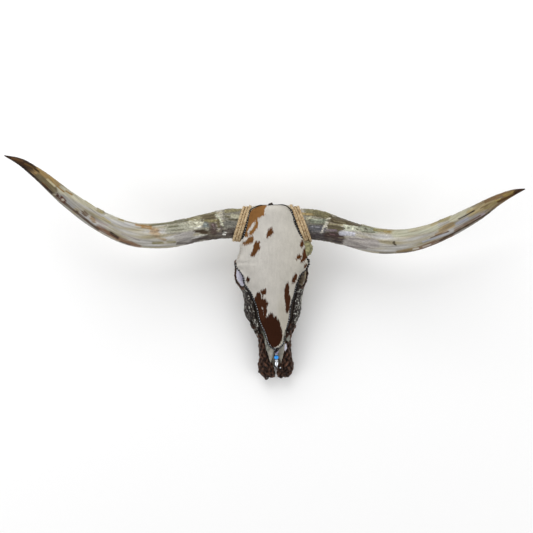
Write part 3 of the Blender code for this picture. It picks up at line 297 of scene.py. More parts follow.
MARKS_RIGHT = (
    # root, beside the hide
    (315, 204, 315, 240, 11, "#7a7667", 0.5), (309, 211, 328, 214, 3.5, "#7a7458", 0.8),
    (302.5, 213.6, 312.5, 214.6, 1.2, "#9a885e", 0.6),
    (315.5, 213.2, 329, 216.8, 2.8, "#6f694e", 1.2),
    (316, 216, 327, 218.4, 0.6, "#57503b", 0.8), (312, 221, 326.5, 221.4, 2.3, "#747869", 0.6),
    (313, 219.6, 322, 220, 0.5, "#a0a392", 0.7), (311, 228.5, 323, 229, 4.0, "#545459", 0.2),
    (311, 235.5, 324, 236.8, 4.0, "#464042", 0.0), (312, 226.4, 319, 227.2, 0.6, "#85858a", 0.3),
    (312, 231.5, 320, 232.3, 0.6, "#6d6a6b", 0.2), (307, 219, 311, 217, 1.3, "#a3a08a", 0.6),
    (333, 224, 338, 238, 6.5, "#685f50", 0.2), (332.4, 217.6, 359.5, 224.8, 2.6, "#544a36", -2.4),
    (332.6, 220, 347, 222.6, 2.4, "#544a36", -1.2),
    (347, 222.6, 358.6, 225.6, 1.5, "#544a36", -1.6),
    (334, 221, 345, 223, 0.5, "#7d7459", 1.8), (328.5, 226.7, 341, 228.4, 2.2, "#554d39", 1.1),
    # painted sheen: the second stroke, lavender-grey, is a reflection on the smooth plate
    (328, 224, 341, 225, 0.6, "#878066", 1.2), (326.5, 230.2, 336, 230.6, 1.1, "#85757f", 0.6),
    (328.5, 235.7, 334.5, 236, 4.6, "#3f322e", 0.4), (330, 234, 335, 235, 0.6, "#665052", 0.5),
    (326.6, 219.4, 330, 218.4, 0.8, "#bdbaa8", 1.1),
    (326.4, 223.6, 323.8, 227.4, 1.1, "#bfbbae", 0.9),
    (323.6, 226.6, 326.6, 226.6, 0.7, "#c4c0b2", 0.9),
    (323.4, 228.6, 321.2, 232.4, 1.1, "#b8b4ab", 0.7),
    (326, 222, 328, 222.6, 0.6, "#c8c4b4", 1.0),
    # painted shade: a dark line along the root's lower edge
    (326, 239.6, 342, 242.6, 1.5, "#3a3131", 0.0),
    (346.5, 227.6, 357, 228.9, 2.8, "#b0b29f", 0.7),
    (344, 225.2, 347.5, 225.6, 0.8, "#d0d2be", 0.9),
    (350, 228.6, 355, 229.2, 0.9, "#d0d2be", 0.9), (353, 226.2, 357, 227, 0.7, "#cbcdb8", 0.9),
    (347.6, 227.8, 349, 228.2, 0.7, "#5c5a49", 0.2),
    (343.4, 227.6, 344.6, 228.4, 0.7, "#55503f", 0.2),
    (356.6, 229.2, 358, 229.8, 0.6, "#66634f", 0.2),
    (351.4, 225.2, 352.6, 225.6, 0.6, "#5c5642", 0.4),
    (341, 233.6, 353, 233.8, 2.1, "#bcbcc6", 0.3), (336, 235.9, 344, 236.5, 0.9, "#3f2f2e", 0.2),
    (336, 239, 345.4, 239.6, 0.9, "#3d3033", 0.2), (349, 242.5, 374, 243.5, 5.3, "#9f9995", 0.0),
    (350, 238.6, 368, 239.6, 0.6, "#827b79", 0.0), (347, 246.2, 366, 248.2, 0.7, "#7d7572", 0.0),
    # middle
    (362, 228.5, 375, 230.5, 3.0, "#9c9e8c", 0.6), (365.2, 228.6, 367, 229.7, 0.8, "#5f5c49", 0.3),
    (362, 231.9, 374.3, 232.4, 0.6, "#6a6c5a", 0.3), (371, 228.4, 376, 229.4, 0.6, "#747664", 0.5),
    (361, 226, 370, 227.4, 0.7, "#78775f", 1.2), (374, 229.8, 389, 231.4, 1.2, "#857d52", 0.5),
    (385, 231.8, 402, 232.7, 1.5, "#95865c", 0.4), (388, 232, 400, 231.9, 0.5, "#7f6839", 0.5),
    (396, 234, 435, 227, 4.0, "#b1b09a", 0.0), (393.8, 242.4, 394.9, 244.7, 1.1, "#4a4131", -0.5),
    # painted shade: the first stroke is a dark line along the lower edge
    (380, 253.3, 398, 253.7, 0.8, "#4b433b", 0.0), (398, 252, 418, 248.9, 1.8, "#84714f", 0.0),
    (418, 248.9, 452, 235.5, 2.0, "#6d533c", 0.0), (413, 249.4, 418.5, 248.1, 0.7, "#c4bfb5", 0.0),
    # painted shade: the second stroke is a dark line along the lower edge
    (423, 246.9, 430, 244.6, 0.5, "#b5aea6", 0.0), (398, 253.6, 420, 250.8, 0.8, "#3a3229", 0.0),
    # painted shade: the first stroke is a dark line along the lower edge
    (420, 251, 455, 237, 0.8, "#382c21", 0.0), (423, 241.8, 447, 233.8, 1.0, "#aaabb2", 0.0),
    (436, 234.6, 447, 230.8, 1.4, "#8a765d", 0.0), (440, 230.6, 453, 225.4, 2.0, "#978463", 0.0),
    (431, 237.7, 449, 231.2, 0.7, "#4f3e34", 0.0), (410, 231, 431, 226, 1.8, "#ada78e", 1.2),
    (432, 225, 438, 222.6, 1.3, "#a0926d", 2.0), (440, 221.4, 450, 217.4, 1.5, "#93885f", 2.0),
    # tip
    (452, 219.2, 470, 209.9, 3.0, "#b0ac94", 0.3), (457, 223.6, 467, 218.8, 1.6, "#93939b", 0.0),
    (443.5, 227, 453, 222.9, 1.3, "#8c7959", 0.0), (455, 230, 478, 217.6, 1.6, "#867362", 0.0),
    (470, 213, 492, 203, 3.3, "#988965", 0.0), (475.5, 218.4, 484, 213.8, 1.2, "#998c91", 0.0),
    (458.8, 218.9, 473.9, 210.8, 0.7, "#2b2017", -0.6),
    (464, 224.2, 480, 215.8, 0.6, "#6a5847", 0.0),
    # painted shade: both strokes are dark lines along the lower edge towards the tip
    (440, 241, 489, 213.2, 1.0, "#443322", 0.0), (489, 213.2, 524, 192.5, 1.1, "#261a0f", 0.0),
    (486, 207.6, 496, 201.8, 2.1, "#81734f", 0.0), (485.5, 201.8, 505, 193.6, 1.5, "#70573a", 0.7),
    (480, 208.5, 492, 202.8, 0.6, "#6d5a3f", 0.0), (498, 201.6, 515.5, 193.8, 1.2, "#50371a", 0.0),
    (496, 200.8, 500, 199.2, 0.5, "#a39258", 0.0), (504, 195.7, 514, 192.2, 1.3, "#84703f", 0.0),
    (516.6, 192.2, 525, 189.3, 3.4, "#2f1808", 0.0),
)
HORN_BASE = "#a8a49b"
HORN_PALE = "#b7b5b2"
HORN_CREAM = "#a0977c"
HORN_TAN = "#7d6643"
HORN_DARK = "#2f1a0a"

# How the horns' looks change: metres from the root, or shares of the whole length.
RING_PITCH = 0.011
CHALK_END, CHALK_FADE = 0.33, 0.15
TAN_START, TAN_FADE = 0.74, 0.16
BLACK_TIP = {-1: 0.965, 1: 0.982}

# The bone: how finely it is remade, and its lumpy, stained temple beside the right socket,
# with painted shade in its crevices and painted light on its knobs.
BONE_VOXEL = 0.0022
TEMPLE = (0.108, -0.134)
TEMPLE_REACH = (0.022, 0.030)
TEMPLE_RISE = 0.0036
NOSE_Y = -0.372         # bare grey bone from here to the tip of the nose

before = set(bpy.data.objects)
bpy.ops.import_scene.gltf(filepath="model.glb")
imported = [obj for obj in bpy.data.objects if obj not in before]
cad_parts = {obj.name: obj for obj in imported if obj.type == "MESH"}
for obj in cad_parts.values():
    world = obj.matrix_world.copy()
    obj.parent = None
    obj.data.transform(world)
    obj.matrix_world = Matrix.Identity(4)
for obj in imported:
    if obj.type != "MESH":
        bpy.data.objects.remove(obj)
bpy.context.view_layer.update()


# Colours and materials

def paint(code):
    """An sRGB hex colour as the linear values that a shader takes."""
    parts = [int(code[k:k + 2], 16) / 255 for k in (1, 3, 5)]
    linear = [p / 12.92 if p <= 0.04045 else ((p + 0.055) / 1.055) ** 2.4 for p in parts]
    return tuple(linear) + (1.0,)


def add(tree, kind, inputs=None, **settings):
    """Add one node with its settings; an input is a value or a socket to link."""
    fresh = tree.nodes.new(kind)
    for name, value in settings.items():
        setattr(fresh, name, value)
    for name, value in (inputs or {}).items():
        if isinstance(value, bpy.types.NodeSocket):
            tree.links.new(value, fresh.inputs[name])
        else:
            fresh.inputs[name].default_value = value
    return fresh


def plain(name, colour, rough, metal=0.0, mirror=0.5):
    """A new material, with its tree and its shader."""
    stuff = bpy.data.materials.new(name)
    stuff.use_nodes = True
    tree = stuff.node_tree
    shader = tree.nodes["Principled BSDF"]
    shader.inputs["Base Color"].default_value = paint(colour)
    shader.inputs["Roughness"].default_value = rough
    shader.inputs["Metallic"].default_value = metal
    shader.inputs["Specular IOR Level"].default_value = mirror
    return stuff, tree, shader


def two_tones(tree, place, scale, detail, tones, stops):
    """Soft clouds that drift between two tones: the colour, and the clouds themselves."""
    cloud = add(tree, "ShaderNodeTexNoise", {"Vector": place, "Scale": scale, "Detail": detail})
    tone = add(tree, "ShaderNodeValToRGB", {"Fac": cloud.outputs["Fac"]})
    for k in (0, 1):
        tone.color_ramp.elements[k].position = stops[k]
        tone.color_ramp.elements[k].color = paint(tones[k])
    return tone.outputs["Color"], cloud.outputs["Fac"]


def dry_bone():
    """Weathered bone: chalky cream, darker and olive where it is stained, with fine pores.
    The stain colour also carries painted shade in the temple's crevices and on the nose's
    sides, and painted light on the tops of the temple's knobs.

    The clouds are about 22 mm across. The pores, 1.1 mm, and the cracks, 2.4 mm apart, are
    drawn several times coarser than real ones, which are too fine to show.
    """
    stuff, tree, shader = plain("weathered bone", "#b9b19c", 0.72, mirror=0.2)
    place = add(tree, "ShaderNodeTexCoord").outputs["Object"]
    mottle, cloud = two_tones(tree, place, 45.0, 5.0, ("#8f8570", "#c4bdab"), (0.32, 0.66))
    pores = add(tree, "ShaderNodeTexNoise", {"Vector": place, "Scale": 900.0, "Detail": 3.0})
    grain = add(tree, "ShaderNodeMapping", {"Vector": place, "Scale": (1.0, 0.12, 1.0)})
    cracks = add(tree, "ShaderNodeTexNoise",
                 {"Vector": grain.outputs[0], "Scale": 420.0, "Detail": 4.0})
    # the stain colour holds real stains and the painted shade and light that bone() gives it
    stain_and_shade = add(tree, "ShaderNodeAttribute", attribute_name="stain_and_shade").outputs["Color"]
    amount = add(tree, "ShaderNodeAttribute", attribute_name="stained").outputs["Fac"]
    uneven = add(tree, "ShaderNodeMapRange", {"Value": cloud, "From Min": 0.3,
                                              "From Max": 0.7, "To Min": 0.70, "To Max": 1.25})
    clouded = add(tree, "ShaderNodeMix", {"Factor": 1.0, 6: stain_and_shade, 7: uneven.outputs[0]},
                  data_type="RGBA", blend_type="MULTIPLY")
    stained = add(tree, "ShaderNodeMix", {"Factor": amount, 6: mottle,
                                          7: clouded.outputs[2]}, data_type="RGBA")
    veins = add(tree, "ShaderNodeMapRange", {"Value": cracks.outputs["Fac"], "From Min": 0.30,
                                             "From Max": 0.46, "To Min": 0.72, "To Max": 1.0})
    worn = add(tree, "ShaderNodeMix", {"Factor": 1.0, 6: stained.outputs[2], 7: veins.outputs[0]},
               data_type="RGBA", blend_type="MULTIPLY")
    tree.links.new(worn.outputs[2], shader.inputs["Base Color"])
    rough = add(tree, "ShaderNodeMath", {0: pores.outputs["Fac"], 1: cracks.outputs["Fac"]})
    deep = add(tree, "ShaderNodeBump",
               {"Height": rough.outputs[0], "Strength": 0.55, "Distance": 0.0006})
    tree.links.new(deep.outputs[0], shader.inputs["Normal"])
    return stuff


def horn_sheath():
    """Weathered horn: layered keratin, silky where it is smooth and chalky where it flakes.

    The streaks along the horn are 3 to 8 mm wide and 70 to 85 mm long, the flecks 6 mm and
    the chips 2 by 5 mm: layers of keratin, drawn coarser than their real fibres.
    """
    stuff, tree, shader = plain("weathered horn", HORN_BASE, 0.45, mirror=0.12)
    tone = add(tree, "ShaderNodeAttribute", attribute_name="tone").outputs["Color"]
    chalk = add(tree, "ShaderNodeAttribute", attribute_name="chalk").outputs["Fac"]
    around = add(tree, "ShaderNodeUVMap", uv_map="grain").outputs["UV"]
    drawn = add(tree, "ShaderNodeMapping", {"Vector": around, "Scale": (300.0, 14.0, 1.0)})
    streaks = add(tree, "ShaderNodeTexNoise",
                  {"Vector": drawn.outputs[0], "Scale": 1.0, "Detail": 5.0})
    wide = add(tree, "ShaderNodeMapping", {"Vector": around, "Scale": (130.0, 12.0, 1.0)})
    bands = add(tree, "ShaderNodeTexNoise",
                {"Vector": wide.outputs[0], "Scale": 1.0, "Detail": 4.0})
    place = add(tree, "ShaderNodeTexCoord").outputs["Object"]
    specks = add(tree, "ShaderNodeTexNoise", {"Vector": place, "Scale": 170.0, "Detail": 6.0,
                                              "Roughness": 0.65})
    light = add(tree, "ShaderNodeMapRange", {"Value": streaks.outputs["Fac"], "From Min": 0.25,
                                             "From Max": 0.75, "To Min": 0.72, "To Max": 1.18})
    broad = add(tree, "ShaderNodeMapRange", {"Value": bands.outputs["Fac"], "From Min": 0.25,
                                             "From Max": 0.75, "To Min": 0.62, "To Max": 1.20})
    both = add(tree, "ShaderNodeMath", {0: light.outputs[0], 1: broad.outputs[0]},
               operation="MULTIPLY")
    fleck = add(tree, "ShaderNodeMapRange", {"Value": specks.outputs["Fac"], "From Min": 0.32,
                                             "From Max": 0.68, "To Min": 0.52, "To Max": 1.55})
    spotted = add(tree, "ShaderNodeMix", {"Factor": chalk, 2: 1.0, 3: fleck.outputs[0]},
                  data_type="FLOAT")
    total = add(tree, "ShaderNodeMath", {0: both.outputs[0], 1: spotted.outputs[0]},
                operation="MULTIPLY")
    worn = add(tree, "ShaderNodeMix", {"Factor": 1.0, 6: tone, 7: total.outputs[0]},
               data_type="RGBA", blend_type="MULTIPLY")
    flat = add(tree, "ShaderNodeMapping", {"Vector": around, "Scale": (420.0, 190.0, 1.0)})
    scales = add(tree, "ShaderNodeTexNoise",
                 {"Vector": flat.outputs[0], "Scale": 1.0, "Detail": 3.0})
    chips = add(tree, "ShaderNodeMapRange", {"Value": scales.outputs["Fac"], "From Min": 0.56,
                                             "From Max": 0.64, "To Min": 0.0, "To Max": 0.65})
    pits = add(tree, "ShaderNodeMapRange", {"Value": scales.outputs["Fac"], "From Min": 0.42,
                                            "From Max": 0.35, "To Min": 0.0, "To Max": 0.60})
    pale = add(tree, "ShaderNodeMath", {0: chips.outputs[0], 1: chalk}, operation="MULTIPLY")
    dark = add(tree, "ShaderNodeMath", {0: pits.outputs[0], 1: chalk}, operation="MULTIPLY")
    fresh = add(tree, "ShaderNodeMix",
                {"Factor": 1.0, 6: worn.outputs[2], 7: (1.7, 1.7, 1.62, 1.0)},
                data_type="RGBA", blend_type="MULTIPLY")
    chipped = add(tree, "ShaderNodeMix", {"Factor": pale.outputs[0], 6: worn.outputs[2],
                                          7: fresh.outputs[2]}, data_type="RGBA")
    pitted = add(tree, "ShaderNodeMix", {"Factor": dark.outputs[0], 6: chipped.outputs[2],
                                         7: paint("#3b352b")}, data_type="RGBA")
    tree.links.new(pitted.outputs[2], shader.inputs["Base Color"])
    gloss = add(tree, "ShaderNodeMapRange", {"Value": chalk, "To Min": 0.40, "To Max": 0.78})
    tree.links.new(gloss.outputs[0], shader.inputs["Roughness"])
    height = add(tree, "ShaderNodeMix", {"Factor": chalk, 2: streaks.outputs["Fac"],
                                         3: specks.outputs["Fac"]}, data_type="FLOAT")
    relief = add(tree, "ShaderNodeBump",
                 {"Height": height.outputs[0], "Strength": 0.5, "Distance": 0.0006})
    tree.links.new(relief.outputs[0], shader.inputs["Normal"])
    return stuff


def cowhide(name, bumpy):
    """Short cattle hair: matt and soft, white with tan and dark brown, ragged along the lie.

    Real hairs are 0.05 mm thick. They are drawn as strands about 0.7 mm wide and 4 mm long,
    with locks 6 mm wide, because finer ones would not show.
    """
    stuff, tree, shader = plain(name, "#c9c5bc", 0.78, mirror=0.08)
    place = add(tree, "ShaderNodeTexCoord").outputs["Object"]
    lie = add(tree, "ShaderNodeMapping", {"Vector": place, "Scale": (1.0, 0.16, 0.6),
                                          "Rotation": (0.0, 0.0, 0.22)})
    ragged = add(tree, "ShaderNodeTexNoise",
                 {"Vector": lie.outputs[0], "Scale": 900.0, "Detail": 3.0})
    hairs = add(tree, "ShaderNodeTexNoise",
                {"Vector": lie.outputs[0], "Scale": 1500.0, "Detail": 2.0})
    soft = add(tree, "ShaderNodeTexNoise", {"Vector": place, "Scale": 26.0, "Detail": 3.0})
    mark = add(tree, "ShaderNodeAttribute", attribute_name="mark").outputs["Fac"]
    tan = add(tree, "ShaderNodeAttribute", attribute_name="tan").outputs["Fac"]
    cream = add(tree, "ShaderNodeAttribute", attribute_name="cream").outputs["Fac"]
    shift = add(tree, "ShaderNodeMath", {0: ragged.outputs["Fac"], 1: -0.5})
    edge = add(tree, "ShaderNodeMath", {0: shift.outputs[0], 1: RAGGED_EDGE, 2: mark},
               operation="MULTIPLY_ADD")
    brown = add(tree, "ShaderNodeMapRange", {"Value": edge.outputs[0], "From Min": 0.0006,
                                             "From Max": -0.0006, "To Min": 0.0, "To Max": 1.0})
    white = add(tree, "ShaderNodeMix", {"Factor": cream, 6: paint("#c3bfb8"), 7: paint("#bab5a8")},
                data_type="RGBA")
    deep = add(tree, "ShaderNodeValToRGB", {"Fac": tan})
    deep.color_ramp.elements[0].color = paint("#2e150a")
    deep.color_ramp.elements[1].color = paint("#855d33")
    middle = deep.color_ramp.elements.new(0.4)
    middle.color = paint("#4f2d16")
    coat = add(tree, "ShaderNodeMix", {"Factor": brown.outputs[0], 6: white.outputs[2],
                                       7: deep.outputs["Color"]}, data_type="RGBA")
    shade = add(tree, "ShaderNodeMapRange", {"Value": hairs.outputs["Fac"], "From Min": 0.25,
                                             "From Max": 0.75, "To Min": 0.86, "To Max": 1.10})
    cloud = add(tree, "ShaderNodeMapRange", {"Value": soft.outputs["Fac"], "From Min": 0.3,
                                             "From Max": 0.7, "To Min": 0.955, "To Max": 1.03})
    wide = add(tree, "ShaderNodeTexNoise",
               {"Vector": lie.outputs[0], "Scale": 170.0, "Detail": 3.0})
    locks = add(tree, "ShaderNodeMapRange", {"Value": wide.outputs["Fac"], "From Min": 0.3,
                                             "From Max": 0.7, "To Min": 0.95, "To Max": 1.04})
    some = add(tree, "ShaderNodeMath", {0: shade.outputs[0], 1: cloud.outputs[0]},
               operation="MULTIPLY")
    both = add(tree, "ShaderNodeMath", {0: some.outputs[0], 1: locks.outputs[0]},
               operation="MULTIPLY")
    lit = add(tree, "ShaderNodeMix", {"Factor": 1.0, 6: coat.outputs[2], 7: both.outputs[0]},
              data_type="RGBA", blend_type="MULTIPLY")
    tree.links.new(lit.outputs[2], shader.inputs["Base Color"])
    relief = add(tree, "ShaderNodeBump", {"Height": hairs.outputs["Fac"], "Strength": bumpy,
                                          "Distance": 0.0005})
    tree.links.new(relief.outputs[0], shader.inputs["Normal"])
    return stuff


def leather(name, dark, light, rough, grain_size):
    """Vegetable-tanned leather: pebbled grain and clouds, scaled by each piece's shade value,
    which holds its own tone and, on the braids, painted shade where a lace sinks and painted
    light where it lies on top.

    The grain's pebbles are as wide as grain_size, about 1 mm, and its clouds are 7 mm.
    """
    stuff, tree, shader = plain(name, dark, rough, mirror=0.16)
    place = add(tree, "ShaderNodeTexCoord").outputs["Object"]
    cells = add(tree, "ShaderNodeTexVoronoi", {"Vector": place, "Scale": 1.0 / grain_size})
    tone, _ = two_tones(tree, place, 140.0, 5.0, (dark, light), (0.36, 0.68))
    shade = add(tree, "ShaderNodeAttribute", attribute_name="shade").outputs["Fac"]
    # the shade value scales the tone: its own tone for each piece, and on the braids also painted
    # shade and light
    lit = add(tree, "ShaderNodeMapRange", {"Value": shade, "To Min": 0.6, "To Max": 2.6})
    worn = add(tree, "ShaderNodeMix", {"Factor": 1.0, 6: tone, 7: lit.outputs[0]},
               data_type="RGBA", blend_type="MULTIPLY")
    tree.links.new(worn.outputs[2], shader.inputs["Base Color"])
    relief = add(tree, "ShaderNodeBump", {"Height": cells.outputs["Distance"], "Strength": 0.4,
                                          "Distance": 0.0003})
    tree.links.new(relief.outputs[0], shader.inputs["Normal"])
    return stuff


def tooled_leather():
    """Dark brown tooled leather: its cut ground is near black, the raised work rubbed silver-grey.

    The rubbed spots are about 4 mm across and the grain's pebbles 1.1 mm.
    """
    stuff, tree, shader = plain("tooled leather", "#2e231e", 0.42, mirror=0.18)
    relief = add(tree, "ShaderNodeAttribute", attribute_name="relief").outputs["Fac"]
    rubbed = add(tree, "ShaderNodeAttribute", attribute_name="rubbed").outputs["Fac"]
    place = add(tree, "ShaderNodeTexCoord").outputs["Object"]
    rub = add(tree, "ShaderNodeTexNoise", {"Vector": place, "Scale": 260.0, "Detail": 4.0,
                                           "Roughness": 0.6})
    cells = add(tree, "ShaderNodeTexVoronoi", {"Vector": place, "Scale": 900.0})
    worn = add(tree, "ShaderNodeMath", {0: rubbed, 1: relief}, operation="MULTIPLY")
    patchy = add(tree, "ShaderNodeMapRange", {"Value": rub.outputs["Fac"], "From Min": 0.40,
                                              "From Max": 0.58, "To Min": 0.15, "To Max": 1.40})
    grade = add(tree, "ShaderNodeMath", {0: worn.outputs[0], 1: patchy.outputs[0]},
                operation="MULTIPLY")
    tone = add(tree, "ShaderNodeValToRGB", {"Fac": grade.outputs[0]})
    tone.color_ramp.elements[0].position = 0.02
    tone.color_ramp.elements[0].color = paint("#120a06")
    tone.color_ramp.elements[1].position = 0.85
    tone.color_ramp.elements[1].color = paint("#b4b5ad")
    for position, colour in ((0.20, "#1c120c"), (0.42, "#31251e"), (0.62, "#5e5850")):
        tone.color_ramp.elements.new(position).color = paint(colour)
    tree.links.new(tone.outputs["Color"], shader.inputs["Base Color"])
    bump = add(tree, "ShaderNodeBump", {"Height": cells.outputs["Distance"], "Strength": 0.35,
                                        "Distance": 0.0003})
    tree.links.new(bump.outputs[0], shader.inputs["Normal"])
    return stuff


def sisal():
    """Sisal rope: coarse straw-coloured fibres laid in three strands, dry and matt.

    Real fibres are 0.2 mm thick, and are drawn about 0.7 mm apart, so that they show.
    """
    stuff, tree, shader = plain("sisal rope", "#a88a62", 0.85, mirror=0.1)
    place = add(tree, "ShaderNodeTexCoord").outputs["Object"]
    fibres = add(tree, "ShaderNodeTexNoise", {"Vector": place, "Scale": 1400.0, "Detail": 3.0})
    tone, _ = two_tones(tree, place, 160.0, 3.0, ("#987c5a", "#cbb794"), (0.34, 0.66))
    tree.links.new(tone, shader.inputs["Base Color"])
    relief = add(tree, "ShaderNodeBump", {"Height": fibres.outputs["Fac"], "Strength": 0.7,
                                          "Distance": 0.0005})
    tree.links.new(relief.outputs[0], shader.inputs["Normal"])
    return stuff


def turquoise():
    """Polished blue stone: glossy, with thin dark veins about 4 mm apart."""
    stuff, tree, shader = plain("turquoise", "#1b93ef", 0.25)
    place = add(tree, "ShaderNodeTexCoord").outputs["Object"]
    veins = add(tree, "ShaderNodeTexVoronoi", {"Vector": place, "Scale": 260.0},
                feature="DISTANCE_TO_EDGE")
    tone = add(tree, "ShaderNodeValToRGB", {"Fac": veins.outputs["Distance"]})
    tone.color_ramp.elements[0].color = paint("#1565ad")
    tone.color_ramp.elements[1].position = 0.06
    tone.color_ramp.elements[1].color = paint("#1fa0ff")
    tree.links.new(tone.outputs["Color"], shader.inputs["Base Color"])
    return stuff


def polished_silver():
    """Silver, polished and a little worn: its dull spots, 1.4 mm, stand for finer scratches."""
    stuff, tree, shader = plain("polished silver", "#d9dde3", 0.22, 1.0)
    place = add(tree, "ShaderNodeTexCoord").outputs["Object"]
    wear = add(tree, "ShaderNodeTexNoise", {"Vector": place, "Scale": 700.0, "Detail": 2.0})
    dull = add(tree, "ShaderNodeMapRange",
               {"Value": wear.outputs["Fac"], "To Min": 0.16, "To Max": 0.36})
    tree.links.new(dull.outputs[0], shader.inputs["Roughness"])
    return stuff


def socket_leather(name, dark, light):
    """Smooth lining leather: even and half matt, softly clouded about every 9 mm."""
    stuff, tree, shader = plain(name, light, 0.5)
    place = add(tree, "ShaderNodeTexCoord").outputs["Object"]
    tone, _ = two_tones(tree, place, 110.0, 4.0, (dark, light), (0.36, 0.64))
    tree.links.new(tone, shader.inputs["Base Color"])
    return stuff


# Shapes

def seen(points):
    """Where points in the part's frame fall in the picture, in its pixels."""
    away = np.asarray(points, dtype=float) - np.array(CAMERA_AT)
    cos, sin = math.cos(CAMERA_TURN), math.sin(CAMERA_TURN)
    right = away[:, 0] * cos + away[:, 1] * sin
    up = -away[:, 0] * sin + away[:, 1] * cos
    scale = (CAMERA_AT.z - BROW_HEIGHT) / PIXEL / -away[:, 2]
    return np.column_stack([PICTURE / 2 + right * scale, PICTURE / 2 - up * scale])


def unit(rows):
    """The same directions, each of length 1."""
    return rows / np.linalg.norm(rows, axis=1)[:, None]


def beside(field):
    """The sum of each cell's four neighbours, with the border cells repeated outwards."""
    padded = np.pad(field, 1, mode="edge")
    return padded[:-2, 1:-1] + padded[2:, 1:-1] + padded[1:-1, :-2] + padded[1:-1, 2:]


def stroke_distance(spots, stroke):
    """Distance of the picture's spots from a stroke's edge, in pixels; inside is below 0."""
    first, last = np.array(stroke[:2]), np.array(stroke[2:4])
    run = last - first
    share = np.clip((spots - first) @ run / max(run @ run, 1e-9), 0, 1)
    return np.linalg.norm(spots - first - share[:, None] * run, axis=1) - stroke[4]


def outline_distance(spots, outline):
    """Distance of the picture's spots from a closed outline, in pixels; inside is below 0."""
    corners = np.array(outline, dtype=float).reshape(-1, 2)
    far = np.full(len(spots), np.inf)
    inside = np.zeros(len(spots), dtype=bool)
    for first, last in zip(corners, np.roll(corners, -1, axis=0)):
        run = last - first
        share = np.clip((spots - first) @ run / max(run @ run, 1e-9), 0, 1)
        far = np.minimum(far, np.linalg.norm(spots - first - share[:, None] * run, axis=1))
        crosses = (first[1] > spots[:, 1]) != (last[1] > spots[:, 1])
        rise = np.where(run[1] == 0, 1e-9, run[1])
        inside ^= crosses & (spots[:, 0] < first[0] + (spots[:, 1] - first[1]) / rise * run[0])
    return np.where(inside, -far, far)


def lap(y, side):
    """How far the hide laps past its edge there, 0 to 1."""
    for which, start, end in LAPS:
        if which == side:
            return np.clip(np.minimum(start - y, y - end) / LAP_FADE + 0.5, 0, 1)
    return np.zeros_like(y)


def ripple(points, size, seed=0):
    """Smooth noise, about -1 to 1, with features of the given size."""
    shift = Vector((seed * 7.31, seed * 3.17, seed * 5.53))
    if np.isscalar(size):
        size = (size, size, size)
    scaled = np.asarray(points, dtype=float) / np.array(size)
    return np.array([noise.noise(Vector(p) + shift) for p in scaled]) * 1.6


def through(stations, places):
    """Every column at the given places along the first, on a smooth curve."""
    table = np.array(stations, dtype=float)
    keys = table[:, 0]
    if keys[0] > keys[-1]:
        table = table[::-1]
        keys = table[:, 0]
    slopes = np.gradient(table, keys, axis=0)
    places = np.atleast_1d(places)
    index = np.clip(np.searchsorted(keys, places) - 1, 0, len(keys) - 2)
    step = keys[index + 1] - keys[index]
    t = ((places - keys[index]) / step)[:, None]
    step = step[:, None]
    first, last = table[index], table[index + 1]
    return ((2 * t**3 - 3 * t**2 + 1) * first + (t**3 - 2 * t**2 + t) * step * slopes[index]
            + (3 * t**2 - 2 * t**3) * last + (t**3 - t**2) * step * slopes[index + 1])


def along(points, count):
    """Rows evenly spaced along the smooth line through the given ones."""
    table = np.array(points, dtype=float)
    chords = np.linalg.norm(np.diff(table[:, :3], axis=0), axis=1)
    run = np.concatenate([[0.0], np.cumsum(chords)])
    return through(np.column_stack([run, table]), np.linspace(0.0, run[-1], count))[:, 1:]


def shown(name, verts, faces, material, smooth=True):
    """A mesh object with outward faces and one material."""
    mesh = bpy.data.meshes.new(name)
    mesh.from_pydata([tuple(map(float, v)) for v in verts], [], faces)
    shape = bmesh.new()
    shape.from_mesh(mesh)
    bmesh.ops.recalc_face_normals(shape, faces=shape.faces)
    shape.to_mesh(mesh)
    shape.free()
    mesh.materials.append(material)
    mesh.polygons.foreach_set("use_smooth", [smooth] * len(mesh.polygons))
    thing = bpy.data.objects.new(name, mesh)
    bpy.context.scene.collection.objects.link(thing)
    return thing


def spots_of(thing):
    """All points of an object's mesh as an array."""
    flat = np.zeros(len(thing.data.vertices) * 3)
    thing.data.vertices.foreach_get("co", flat)
    return flat.reshape(-1, 3)


def normals_of(thing):
    """All point normals of an object's mesh as an array."""
    flat = np.zeros(len(thing.data.vertices) * 3)
    thing.data.vertices.foreach_get("normal", flat)
    return flat.reshape(-1, 3)


def moved_to(thing, spots):
    """Put the mesh's points at the given spots."""
    thing.data.vertices.foreach_set("co", np.asarray(spots, dtype=float).ravel())
    thing.data.update()


def note(thing, name, values):
    """Store one number for each point of the mesh, for its material to read."""
    field = thing.data.attributes.new(name, "FLOAT", "POINT")
    field.data.foreach_set("value", np.asarray(values, dtype=float))


def note_colour(thing, name, rows):
    """Store one colour for each point of the mesh."""
    field = thing.data.attributes.new(name, "FLOAT_COLOR", "POINT")
    full = np.column_stack([rows, np.ones(len(rows))])
    field.data.foreach_set("color", full.ravel())


def surface_of(thing):
    """A tree of the object's faces, for casting rays at them."""
    mesh = thing.data
    return BVHTree.FromPolygons([v.co for v in mesh.vertices],
                                [tuple(face.vertices) for face in mesh.polygons])


def settled(thing):
    """Give the object the mesh that its modifiers make of it."""
    bpy.context.view_layer.update()
    graph = bpy.context.evaluated_depsgraph_get()
    mesh = bpy.data.meshes.new_from_object(thing.evaluated_get(graph))
    thing.modifiers.clear()
    thing.data = mesh
    return thing


